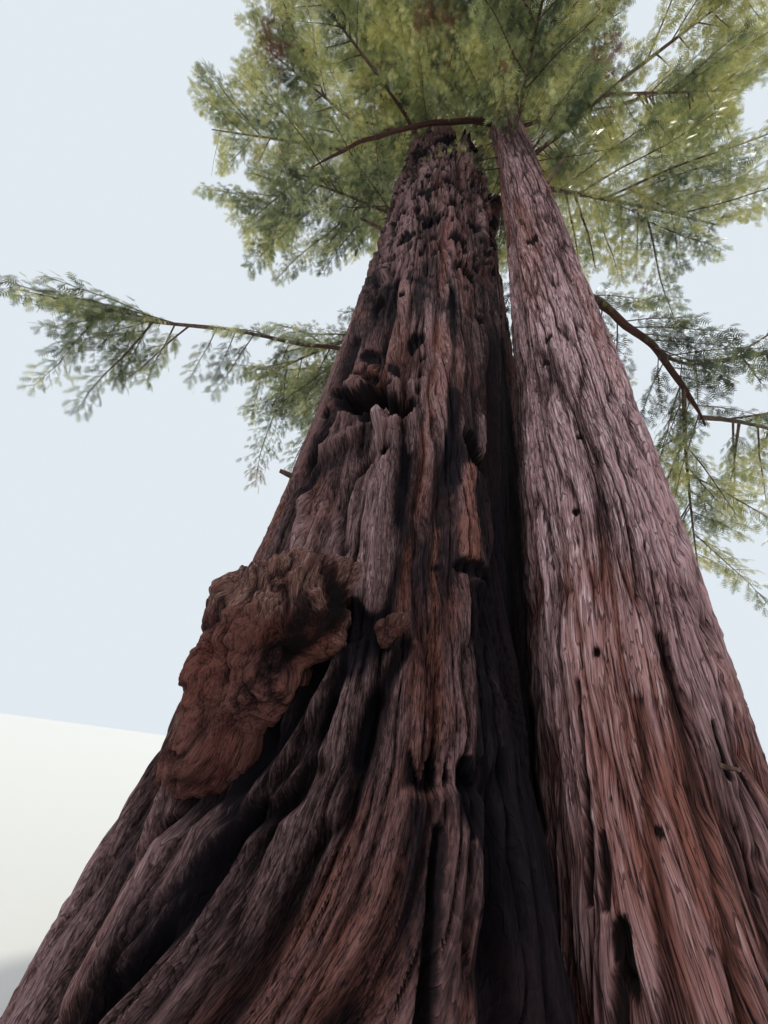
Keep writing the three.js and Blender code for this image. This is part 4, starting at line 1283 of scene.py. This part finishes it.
# %% Masses
# name, what it grows on, height or share, heading, reach, rise, sag
MASSES = [
    ("low_right_foliage", "low_right_bough", 0.96, 6, 2.5, -0.15, -0.2),
    ("hanging_foliage", "low_right_bough", 0.8, 66, 1.7, -2.2, -0.2),
    ("low_right_side_foliage", "low_right_side_bough", 0.93, -14, 2.4, 0.35, 0),
    ("crossing_foliage", "crossing_bough", 0.97, 146, 2.4, -0.7, 0),
    ("crossing_side_foliage", "crossing_side_bough", 0.94, 204, 2.6, 0.4, 0),
    ("crossing_end_foliage", "crossing_bough", 0.8, 180, 3.7, 0.1, 0),
    ("rising_right_foliage", "rising_right_bough", 0.96, -36, 2.9, 0.9, 0),
    ("rising_side_foliage", "rising_right_bough", 0.8, -6, 2.9, 0.3, 0),
    ("upper_right_foliage", "upper_right_bough", 0.96, -18, 2.7, 0.2, 0),
    ("lone_left_foliage", "lone_left_bough", 0.96, 186, 2.0, -0.45, 0),
    ("back_left_foliage", "back_left_bough", 0.96, 130, 2.9, -0.3, 0),
    ("back_right_foliage", "back_right_bough", 0.96, 66, 2.9, -0.4, 0),
    ("leader_left_foliage", "leader_left_bough", 0.96, -142, 3.0, -0.3, 0),
    ("old_left_low_foliage", "old_trunk", 8.7, 160, 3.5, -1.1, -0.25),
    ("old_left_mid_foliage", "old_trunk", 12.0, -168, 3.6, 0.1, -0.15),
    ("leader_front_foliage", "leader", 23.2, -146, 4.3, 0.4, -0.2),
]
# name, stem, lowest and highest, reach there, how many, side, spread, tip of the stem
CROWNS = (
    ("leader_crown", "leader", (17.9, 36.3), (4.6, 1.7), 11, 155, 265, LEADER_TOP),
    ("young_crown", "young_stem", (12.2, 33.3), (4.2, 1.5), 10, -28, 250, YOUNG_TOP),
)
GOLDEN = 0.618034


def between(low, high, share):
    return low + (high - low) * share


for name, on, heights, reaches, count, away, spread, tip in CROWNS:
    for i in range(count):
        up = i / (count - 1)
        turn = away + ((i + 1) * GOLDEN % 1 - 0.5) * spread
        height, reach, rise = between(*heights, up), between(*reaches, up), between(-0.3, 0.4, up)
        MASSES.append((f"{name}_{i + 1}", on, height, turn, reach, rise, -0.22))
    MASSES.append((f"{name}_top", on, tip, 0, 1.5, None, 0))
MASS_NAMES = [row[0] for row in MASSES]
print(len(MASSES), "masses")

# %% Rods, to keep clear of
TOP_SUNK = 0.08


class Rod:
    """A row of points with radii, and how far other points are from its surface."""

    def __init__(self, points, radii):
        self.points, self.radii = np.asarray(points, float), np.asarray(radii, float)

    def clearance(self, points):
        nearest = np.full(len(points), 1e9)
        for a, b, ra, rb in zip(self.points, self.points[1:], self.radii, self.radii[1:]):
            way = b - a
            t = np.clip((points - a) @ way / (way @ way), 0, 1)
            off = np.linalg.norm(points - a - t[:, None] * way, axis=1)
            nearest = np.minimum(nearest, off - ra - (rb - ra) * t)
        return nearest


class MassStem:
    """The stem of one mass; a mass without a rise stands upright on a stem's tip."""

    def __init__(self, row):
        self.name, on, at, turn, self.reach, rise, sag = row
        self.upright = rise is None
        root = carriers[on](at)
        if self.upright:
            foot = root - UP * TOP_SUNK
            self.line = Line([foot, foot + UP * (self.reach + TOP_SUNK)])
            self.foot, self.tip = 0.028, 0.014
        else:
            self.line = limb_line(root, turn, self.reach, rise, 0, sag)
            self.foot = 0.014 + 0.011 * self.reach
            self.tip = self.foot * 0.25
        self.rod = Rod(self.line.at(np.linspace(0, 1, 5)), np.linspace(self.foot, self.tip, 5))

    def radius(self, share):
        return between(self.foot, self.tip, share)


stems = [MassStem(row) for row in MASSES]
up = np.linspace(0, 1, 14)
bole_rod = Rod(np.stack([BOLE_LEAN * up, 0 * up, 16.15 * up], -1), bole_radius(SHOULDER * up) + 0.09)
up = LEADER_FOOT + (LEADER_TOP - LEADER_FOOT) * np.linspace(0, 1, 9)
leader_rod = Rod(leader_axis(up), leader_radius(up))
up = YOUNG_TOP * np.linspace(0, 1, 17)
young_rod = Rod(young_axis(up), young_radius(up))
limb_rods = [bole_rod, leader_rod, young_rod]
for line, radius in bough_lines.values():
    share = np.linspace(0, 1, 7)
    limb_rods.append(Rod(line.at(share), radius * (1 - BOUGH_TAPER * share)))
print(len(stems), "stems of masses and", len(limb_rods), "limbs to keep clear of")


def in_own_space(owner, points, margin=0.11, limb_margin=0.07):
    """True for points nearer to the owner's stem than to any other's, and clear of the limbs."""
    own = owner.rod.clearance(points) + margin
    clear = np.ones(len(points), bool)
    for other in stems:
        if other is not owner:
            clear &= other.rod.clearance(points) >= own
    for rod in limb_rods:
        clear &= rod.clearance(points) > limb_margin
    return clear


def within_box(points, margin):
    """True for points that lie at least so far inside the solid model's box."""
    low, high = np.array(CAD_LOW) + margin, np.array(CAD_HIGH) - margin
    return ((points > low) & (points < high)).all(axis=-1)


# %% The rule for a mass's twigs
TEETH = ((0.34, 1), (0.5, 0.5), (0.74, 0.85), (1, 0))
FEW_TEETH = ((0.4, 1), (0.7, 0.6), (1, 0))
LONGEST_SPRAY = 1.95
BARE_SHARE = 0.273
ROUND_STEP = 2.4


class Dice:
    """Seeded numbers between low and high, the same as in the solid model."""

    def __init__(self, seed):
        self.state = seed

    def __call__(self, low, high):
        self.state = (self.state * 1664525 + 1013904223) % 2**32
        return between(low, high, self.state / 2**32)


def about(vector, axis, angle):
    return np.array(Matrix.Rotation(angle, 3, Vector(axis)) @ Vector(vector))


class Branchlet:
    """A twig or stem that ends in a flat spray, with the spray's outline."""

    def __init__(self, line, side, radius, bare_rows, spray, teeth):
        self.line, self.side, self.radius = line, side, radius
        bare = max(0, 1 - spray / line.length)
        width = spray * 0.21
        rows = [(bare * k / bare_rows, radius * (1 - 0.6 * k / bare_rows)) for k in range(1, bare_rows + 1)]
        self.rows = rows + [(between(bare, 1, along), width * across) for along, across in teeth]
        widest = between(bare, 1, teeth[0][0])
        self.rib = Rod([self.at(widest, 0), self.at(1, 0)], [width / 2, width / 2])

    def at(self, share, across):
        ahead = self.line.ahead(share)
        wide = unit(self.side - ahead * (self.side @ ahead))
        return self.line.at(share) + wide * across

    def outline(self):
        return np.array([self.at(share, way * wide) for share, wide in self.rows for way in (1, -1)])


def straight(foot, along, length):
    return Line([foot, foot + along * length])


def spray_size(reach):
    return LONGEST_SPRAY * min(1, reach / 3.6 + 0.12)


def mass_twigs(owner, seed):
    """The stem of a mass and its first twigs, as the solid has them."""
    roll = Dice(seed)
    reach, upright, stem = owner.reach, owner.upright, owner.line
    size = spray_size(reach)
    side = level(0.4) if upright else level_side(stem.ahead(0.5))
    end = reach * 0.6 if upright else min(LONGEST_SPRAY, reach * 0.35)
    kept = [Branchlet(stem, side, owner.foot, 3, end, TEETH)]

    def keep(twig):
        points = twig.outline()
        clear = in_own_space(owner, points).all()
        clear = clear and all((other.rib.clearance(points) > 0.02).all() for other in kept)
        if clear:
            kept.append(twig)
        return clear

    count = 3 if upright else 4
    for i in range(count):
        t = 0.3 + 0.52 * (i + roll(-0.25, 0.25)) / (count - 1)
        start, ahead = stem.at(t), stem.ahead(t)
        hand = 1 if upright or i % 2 == 0 else -1
        flat = level(i * ROUND_STEP + roll(0, 0.4)) if upright else level_side(ahead)
        lean = roll(0.75, 1.05)
        lift = roll(-0.4, 0.3) if upright else roll(-1, -0.2)
        along = unit(ahead * math.cos(lean) + flat * hand * math.sin(lean) + UP * lift)
        rolled = about(level_side(along), along, roll(-0.5, 0.5))
        radius = owner.radius(t) * 0.7
        bare = reach * BARE_SHARE * (1 - 0.6 * t) * roll(0.85, 1.15)
        spray = size * roll(0.85, 1.1)
        made = None
        for share in (1, 0.75, 0.55):
            line = straight(start, along, (bare + spray) * share)
            if keep(Branchlet(line, rolled, radius, 1, spray * share, TEETH)):
                made = share
                break
        beside = about(along, UP, -hand * roll(0.7, 1))
        foot = start + along * bare * roll(0.35, 0.6)
        shorter = size * roll(0.7, 0.85)
        if made == 1 and not upright and i < count - 1:
            line = straight(foot, beside, shorter)
            keep(Branchlet(line, level_side(beside), radius / 2, 0, shorter, FEW_TEETH))
    return kept


# %% [markdown]
# ## Finer and finer
# A mass's few twigs aren't enough for a crown. A second set of dice fills in more branchlets
# between them, no longer than the first ones, and sprouts fill the gaps on the boughs, round the
# stems and up to both tips. Every branchlet then bears side twigs on both hands, longest a third
# of the way out, and every twig bears short sprays of needles that droop a little. What belongs
# to a mass stays in its own space, so light still shows between the masses.

# %% Branchlets
EXTRA_BRANCHLETS, EXTRA_ON_TOP = 13, 7


def droop(line, side, amount, seed):
    """The same line, sagging towards its tip and swinging a little from side to side."""
    share = np.linspace(0, 1, 9)
    points = line.at(share)
    swing = 0.025 * line.length * np.sin(share * 7 + seed) * share
    return Line(points + side * swing[:, None] - UP * (amount * line.length * share**2)[:, None])


def more_branchlets(owner, seed):
    roll = Dice(seed)
    stem = owner.line
    made = []
    count = EXTRA_ON_TOP if owner.upright else EXTRA_BRANCHLETS
    for i in range(count):
        t = between(0.16, 0.97, (i + roll(0, 1)) / count)
        start, ahead = stem.at(t), stem.ahead(t)
        hand = 1 if i % 2 else -1
        flat = level(i * ROUND_STEP) if owner.upright else level_side(ahead)
        lean = roll(0.6, 1.1)
        along = unit(ahead * math.cos(lean) + flat * hand * math.sin(lean) + UP * roll(-0.8, 0.15))
        side = about(level_side(along), along, roll(-0.5, 0.5))
        longest = owner.reach * BARE_SHARE + spray_size(owner.reach)
        length = longest * (1.02 - 0.62 * t) * roll(0.55, 1.0)
        tests = start + along * length * np.linspace(0.25, 1, 7)[:, None]
        clear = in_own_space(owner, tests, 0.05, 0.04)
        good = 7 if clear.all() else int(np.argmin(clear))
        length *= between(0.25, 1, max(0, good - 1) / 6)
        if good > 0 and length > 0.35:
            made.append((straight(start, along, length), side, owner.radius(t) * 0.5))
    return made


# Each branchlet: its mass, line, side, radius and bare share
branchlets = []
for i, owner in enumerate(stems):
    for k, twig in enumerate(mass_twigs(owner, 7 + i * 97)):
        line = twig.line if k == 0 else droop(twig.line, twig.side, 0.05, k)
        branchlets.append((i, line, twig.side, twig.radius, 0.34 if k == 0 else 0.12))
    for k, (line, side, radius) in enumerate(more_branchlets(owner, 5000 + i * 31)):
        branchlets.append((i, droop(line, side, 0.08, k * 1.7), side, radius, 0.10))
print(len(branchlets), "branchlets in the masses")

# %% Sprouts on the boughs and stems
NO_MASS = -1
FULL_BOUGHS = ("low_right_bough", "low_right_side_bough", "rising_right_bough", "upper_right_bough")
# Sprouts round a stem: its axis and radius, heights, lengths and how many
SPROUTING = (
    (leader_axis, leader_radius, (16.2, 37.4), (2.9, 0.9), 170),
    (young_axis, young_radius, (12.4, 34.2), (2.3, 0.8), 140),
    (leader_axis, leader_radius, (34.2, 38.9), (1.3, 0.4), 52),
    (young_axis, young_radius, (31.2, 35.6), (1.1, 0.4), 44),
)
rng = np.random.default_rng(909)


def sprout(start, along, length, swing):
    """A branchlet that hangs from a bough or stands on a stem, between the masses."""
    side = level_side(along)
    line = droop(straight(start, along, length), side, 0.2, swing)
    if within_box(line.at(1), 0.1):
        branchlets.append((NO_MASS, line, side, 0.006 + 0.004 * length, 0.12))


for name, (line, radius) in bough_lines.items():
    gap = 0.14 if name in FULL_BOUGHS else 0.30
    for share in np.arange(0.22, 0.97, gap / line.length):
        ahead = line.ahead(share)
        hand = rng.choice((-1, 1))
        along = ahead * 0.35 + level_side(ahead) * hand * rng.uniform(0.4, 0.9)
        along = unit(along - UP * rng.uniform(0.3, 1.0))
        sprout(line.at(share), along, rng.uniform(0.6, 1.4), share * 9)
for axis, radius_at, heights, lengths, count in SPROUTING:
    for i in range(count):
        up = (i + rng.uniform(0, 1)) / count
        z = np.array([between(*heights, up)])
        out = level(i * ROUND_STEP + rng.uniform(-0.4, 0.4))
        start = axis(z)[0] + out * max(0.012, float(radius_at(z)[0])) * 0.9
        along = unit(out + UP * (between(-0.5, 0.25, up) + rng.uniform(-0.25, 0.25)))
        sprout(start, along, between(*lengths, up) * rng.uniform(0.6, 1.1), i)
print(len(branchlets), "branchlets,", round(sum(row[1].length for row in branchlets)), "m in all")

# %% [markdown]
# ## Dead stubs
# Where a bough has died and snapped, a grey stub stays for decades. Each one here is a blunt tube
# set into the bark, listed one by one, since a few of them in the right places say more than many.

# %% Stubs
# Heading, height, length, radius, rise
YOUNG_STUBS = (
    (-55, 13.3, 0.40, 0.034, 0.15), (-62, 11.0, 0.55, 0.040, 0.5),
    (-88, 1.72, 0.11, 0.020, -0.15), (-140, 9.4, 0.12, 0.030, 0),
)
OLD_STUBS = (
    (-158, 4.1, 0.13, 0.045, 0.1), (-172, 11.4, 0.7, 0.05, 0.4),
    (40, 9.0, 0.8, 0.055, 0.2), (95, 12.2, 0.6, 0.045, 0.3),
)
STUB_SUNK = 0.12


def stub(axis, radius_at, heading, high, length, rise):
    z = np.array([float(high)])
    out = level(math.radians(heading))
    start = axis(z)[0] + out * (float(radius_at(z)[0]) - STUB_SUNK)
    return straight(start, unit(out + UP * rise), length + STUB_SUNK)


stub_tubes = []
for axis, radius_at, rows in ((young_axis, young_radius, YOUNG_STUBS), (bole_axis, bole_radius, OLD_STUBS)):
    for heading, high, length, radius, rise in rows:
        stub_tubes.append((stub(axis, radius_at, heading, high, length, rise), radius))
print(len(stub_tubes), "dead stubs")

# %% [markdown]
# ## Side twigs and sprays
# A few leafy twigs could be scattered over the branchlets as instances, but then all would look
# alike. So arrays deal out every side twig and spray with its own length and direction, and only
# those that stay in their mass's space and in the solid model's box are kept.

# %% Side twigs
TWIG_STEP = 0.108
rng = np.random.default_rng(404)
# Each row: start, direction, length and mass
twig_rows = []
for owner, line, side, _, bare in branchlets:
    leafy = 1 - bare
    coarse = 1 + 0.35 * ease(14, 24, line.at(0.5)[2])
    count = max(3, int(line.length * leafy / (TWIG_STEP * coarse)))
    share = bare + leafy * (np.arange(count) + rng.uniform(0.1, 0.9, count)) / count
    share = np.concatenate([share, share + 0.3 * leafy / count])
    hand = np.concatenate([np.ones(count), -np.ones(count)])
    start, ahead = line.at(share), line.ahead(share)
    flat = unit(side - ahead * (ahead @ side)[:, None])
    rib = (share - bare) / leafy
    full = np.where(rib < 0.33, 0.55 + rib * 1.36, 1 - (rib - 0.33) * 1.05)
    length = np.clip(line.length * leafy * 0.27 * full, 0.10, 0.60)
    length = length * rng.uniform(0.6, 1.15, 2 * count)
    lean = rng.uniform(0.65, 1.1, 2 * count)
    lift = rng.uniform(-0.75, 0.1, 2 * count)
    way = ahead * np.cos(lean)[:, None] + flat * (hand * np.sin(lean))[:, None] + UP * lift[:, None]
    twig_rows.append(np.column_stack([start, unit(way), length, np.full(2 * count, owner)]))
twigs = np.vstack(twig_rows)
print(len(twigs), "side twigs")

# %% Sprays
SPRAY_STEP = 0.082
BOX_MARGIN = 0.02


def deal_sprays(twigs):
    """Where sprays start, their directions and lengths, and the masses that they belong to."""
    coarse = 1 + 0.5 * ease(14, 24, twigs[:, 2])
    count = np.maximum(2, np.round(twigs[:, 6] / (SPRAY_STEP * coarse)).astype(int) + 1)
    index = np.repeat(np.arange(len(twigs)), count)
    number = np.arange(len(index)) - np.repeat(np.cumsum(count) - count, count)
    share = (number + rng.uniform(0, 0.6, len(index))) / (count[index] - 0.4)
    ahead = twigs[index, 3:6]
    start = twigs[index, :3] + ahead * (twigs[index, 6] * np.minimum(share, 1))[:, None]
    hand = np.where(number % 2 == 0, 1, -1)
    lean = rng.uniform(0.35, 0.95, len(index)) * np.where(number == count[index] - 1, 0.2, 1)
    way = ahead * np.cos(lean)[:, None] + level_side(ahead) * (hand * np.sin(lean))[:, None]
    way = unit(way + UP * rng.uniform(-0.55, 0.05, len(index))[:, None])
    high = 0.3 * ease(6, 16, start[:, 2]) + 0.75 * ease(14, 24, start[:, 2])
    length = rng.uniform(0.11, 0.19, len(index)) * (0.88 + high)
    return start, way, length, twigs[index, 7].astype(int)


def in_reach(points, owners, limb_margin):
    """True for points in their own mass's space; sprouts need only be clear of the limbs."""
    clear = np.ones(len(points), bool)
    for i, owner in enumerate(stems):
        mine = owners == i
        clear[mine] = in_own_space(owner, points[mine], 0.0, limb_margin)
    for rod in limb_rods:
        clear &= rod.clearance(points) > limb_margin
    return clear


def hides_bough(points, line):
    """True for points that stand between the eye and a bough that shows bare in the crown."""
    hiding = np.zeros(len(points), bool)
    for share in np.linspace(0.12, 0.97, 70):
        seen = line.at(share)
        sight = Rod([EYE, seen - unit(seen - np.array(EYE)) * 0.1], [0.0, 0.12])
        hiding |= sight.clearance(points) < 0
    return hiding


start, way, length, owners = deal_sprays(twigs)
reach = way * length[:, None]
keep = in_reach(start + reach * 0.6, owners, 0.03) & within_box(start + reach, BOX_MARGIN)
keep &= ~hides_bough(start + reach * 0.5, bough_lines["crossing_bough"][0])
start, way, length = start[keep], way[keep], length[keep]
print(len(start), "sprays in their own space, of", len(keep))

# %% [markdown]
# ## Needles
# A redwood's needles stand in two flat rows along a shoot. They could be leaf-shaped holes in a
# picture on large cards, but here they are real meshes that hold up near the camera. A spray is
# one shoot of ten needles, each one triangle in a needle's outline. They are larger than life, so
# that fewer than eighty thousand sprays can fill the crown. A few shades of green are dealt out
# by clumps and by painted light, lighter where more light would reach them, with a few rusty clumps.

# %% Needle meshes
# Pairs of needles: how far across they reach and how far they sweep ahead, in spray lengths
PAIR_REACH = (0.32, 0.42, 0.42, 0.36, 0.22)
PAIR_SWEEP = (0.20, 0.22, 0.24, 0.27, 0.30)
NEEDLE_WIDTH = 0.12
SPRAY_BEND = 0.18


def spray_mesh(start, way, length, seed):
    """Points and faces of sprays, twenty points and ten needles each."""
    rng = np.random.default_rng(seed)
    count, pairs = len(start), len(PAIR_REACH)
    rolled = rng.uniform(-0.7, 0.7, count)
    c, s = np.cos(rolled)[:, None], np.sin(rolled)[:, None]
    side = level_side(way)
    over = np.cross(way, side)
    side, over = side * c + over * s, over * c - side * s
    points = np.zeros((count, pairs * 4, 3))
    faces = []
    size = length[:, None]
    for k in range(pairs):
        foot = 0.02 + 0.175 * k
        reach = PAIR_REACH[k] * rng.uniform(0.8, 1.15, (count, 2))
        sweep = foot + PAIR_SWEEP[k]
        for n, along in enumerate((foot, foot + NEEDLE_WIDTH)):
            points[:, 4 * k + n] = start + way * size * along - over * size * SPRAY_BEND * along**2
        for n, hand in enumerate((1, -1)):
            tip = start + way * size * sweep + side * size * hand * reach[:, n:n + 1]
            hang = SPRAY_BEND * sweep**2 + rng.uniform(-0.03, 0.08, (count, 1))
            points[:, 4 * k + 2 + n] = tip - over * size * hang
        faces += [(4 * k, 4 * k + 1, 4 * k + 2), (4 * k + 1, 4 * k, 4 * k + 3)]
    return points.reshape(-1, 3), repeated(faces, count, pairs * 4)


def repeated(faces, count, step):
    """The faces of one small part, again for each of so many parts with so many points."""
    faces = np.array(faces)[None] + (np.arange(count) * step)[:, None, None]
    return faces.reshape(-1, faces.shape[-1])


def joined_piece(name, points, faces, material, slot, nodes):
    mesh = bpy.data.meshes.new(name)
    mesh.from_pydata(points, [], faces)
    mesh.update()
    piece = bpy.data.objects.new(name, mesh)
    scene.collection.objects.link(piece)
    return dress(piece, material, slot, *nodes)


# %% Needle finishes
needle_group = bpy.data.node_groups.new("needle green", "ShaderNodeTree")
socket(needle_group, "Light tone", "NodeSocketColor", "INPUT", (0.2, 0.3, 0.05, 1))
socket(needle_group, "Dark tone", "NodeSocketColor", "INPUT", (0.05, 0.1, 0.02, 1))
socket(needle_group, "Color", "NodeSocketColor", "OUTPUT")
socket(needle_group, "Roughness", "NodeSocketFloat", "OUTPUT")
w = Wiring(needle_group)
given = w.node("NodeGroupInput").outputs
place = w.node("ShaderNodeTexCoord").outputs["Object"]
clump = w.noise(place, 2.3, detail=2)
shoot = w.noise(place, 14, detail=2)
shade = w.between(w.add(w.times(clump, 0.55), w.times(shoot, 0.45)), 0.36, 0.64)
out = w.node("NodeGroupOutput").inputs
w.join(w.mix(shade, given["Dark tone"], given["Light tone"]), out["Color"])
w.join(w.between(shoot, -0.8, 2.2), out["Roughness"])


def needle_green(name, light, dark):
    material, wire, shader = new_material(name)
    group = wire.node("ShaderNodeGroup", node_tree=needle_group)
    group.inputs["Light tone"].default_value = srgb(*light)
    group.inputs["Dark tone"].default_value = srgb(*dark)
    wire.join(group.outputs["Color"], shader.inputs["Base Color"])
    wire.join(group.outputs["Roughness"], shader.inputs["Roughness"])
    shader.inputs["Specular IOR Level"].default_value = 0.3
    return material


# The deep, mid, bright and yellow greens act as shaded and lit copies of one green, dealt out below by
# clumps and by painted light.
NEEDLES = {
    "deep": needle_green("deep needles", (92, 105, 76), (46, 56, 44)),
    "mid": needle_green("mid needles", (142, 150, 106), (96, 107, 74)),
    "bright": needle_green("bright needles", (178, 182, 128), (128, 138, 90)),
    "yellow": needle_green("yellow needles", (216, 211, 148), (168, 169, 104)),
    "rust": needle_green("rust needles", (146, 112, 84), (106, 78, 58)),
}
twig_bark, wire, shader = new_material("twig bark")
mottle = wire.noise(wire.node("ShaderNodeTexCoord").outputs["Object"], 22, (1, 1, 0.4), detail=3)
brown = wire.mix(wire.between(mottle, 0.35, 0.65), srgb(54, 40, 34), srgb(104, 80, 66))
wire.join(brown, shader.inputs["Base Color"])
wire.join(wire.between(mottle, -1.6, 1.2), shader.inputs["Roughness"])
print(len(NEEDLES), "needle finishes and the twigs' bark")

# %% Needle pieces
MOST_SPRAYS = 19500
clump = cloud(501, start, 0.8)
fine = cloud(502, start, 0.22)
# Painted light: sprays farther out from the stems, further right and higher up get lighter greens.
outward = np.linalg.norm(start[:, :2] - np.array([0.9, -0.5]), axis=1)
light = 0.55 * clump + 0.25 * fine + 0.10 * ease(1.5, 5, outward) + 0.05 * ease(-2, 5, start[:, 0])
light = light + 0.21 * ease(9, 17, start[:, 2]) + rng.normal(0, 0.05, len(start))
rusty = cloud(503, start, 1.1) + rng.normal(0, 0.04, len(start)) > 0.83
tests = [rusty, light < 0.42, light < 0.54, light < 0.66]
shade = np.select(tests, ["rust", "deep", "mid", "bright"], "yellow")
for tint, material in NEEDLES.items():
    mine = np.flatnonzero(shade == tint)
    parts = math.ceil(len(mine) / MOST_SPRAYS)
    for part in range(parts):
        chosen = mine[part::parts]
        points, faces = spray_mesh(start[chosen], way[chosen], length[chosen], 600 + part)
        joined_piece(f"needles_{tint}_{part + 1}", points, faces, material, "needles", MASS_NAMES)
    print(tint, "has", len(mine), "sprays")

# %% [markdown]
# ## Twigs
# The twigs are thin tubes that taper to a point. A stem has five sides and a side twig three,
# since nobody sees more of it, and all are joined, as the needles are.

# %% Twig meshes


def tube(line, foot, tip, sides, rows):
    """Points and faces of one closed, tapering tube along a line."""
    share = np.linspace(0, 1, rows)
    side, over = frames_along(line, share)
    angle = (TAU * np.arange(sides) / sides)[None, :, None]
    ring = side[:, None] * np.cos(angle) + over[:, None] * np.sin(angle)
    points = line.at(share)[:, None] + ring * between(foot, tip, share)[:, None, None]
    points = np.vstack([line.at(0)[None], points.reshape(-1, 3), line.at(1)[None]])
    faces = []
    last = 1 + (rows - 1) * sides
    for k in range(sides):
        n = (k + 1) % sides
        faces.append((0, 1 + n, 1 + k))
        for a in range(1, last, sides):
            b = a + sides
            faces += [(a + k, a + n, b + n), (a + k, b + n, b + k)]
        faces.append((last + k, last + n, len(points) - 1))
    return points, np.array(faces)


def join_meshes(parts):
    points, faces, count = [], [], 0
    for part_points, part_faces in parts:
        points.append(part_points)
        faces.append(part_faces + count)
        count += len(part_points)
    return np.vstack(points), np.vstack(faces)


# %% Branchlets and stubs as tubes
parts = []
for _, line, _, radius, _ in branchlets:
    parts.append(tube(line, radius, max(0.003, radius * 0.25), 5, max(4, int(line.length / 0.3))))
for line, radius in stub_tubes:
    parts.append(tube(line, radius, radius * 0.55, 7, 5))
points, faces = join_meshes(parts)
joined_piece("branchlets", points, faces, twig_bark, "bough_bark", MASS_NAMES)
print("branchlets have", len(faces), "faces")

# %% Side twigs as slim pyramids
TWIG_RADIUS = 0.0045
ends = twigs[:, :3] + twigs[:, 3:6] * twigs[:, 6:7]
thin = twigs[in_reach(ends, twigs[:, 7], 0.02) & within_box(ends, BOX_MARGIN)]
ahead = thin[:, 3:6]
side = level_side(ahead)
over = np.cross(ahead, side)
points = np.zeros((len(thin), 4, 3))
for k in range(3):
    angle = TAU * k / 3
    points[:, k] = thin[:, :3] + (side * math.cos(angle) + over * math.sin(angle)) * TWIG_RADIUS
points[:, 3] = thin[:, :3] + ahead * thin[:, 6:7]
faces = repeated([(0, 1, 3), (1, 2, 3), (2, 0, 3), (0, 2, 1)], len(thin), 4)
joined_piece("side_twigs", points.reshape(-1, 3), faces, twig_bark, "bough_bark", MASS_NAMES)
print("side twigs have", len(faces), "faces")

# %% [markdown]
# ## Measuring and finishing
# The box of the finished tree is measured. It should be nearly the same as the solid model's,
# since the twigs and needles keep to the solid's crown.

# %% Size and finish
meshes = [piece.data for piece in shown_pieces() if piece.type == "MESH"]
for mesh in meshes:
    mesh.calc_loop_triangles()
low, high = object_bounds()
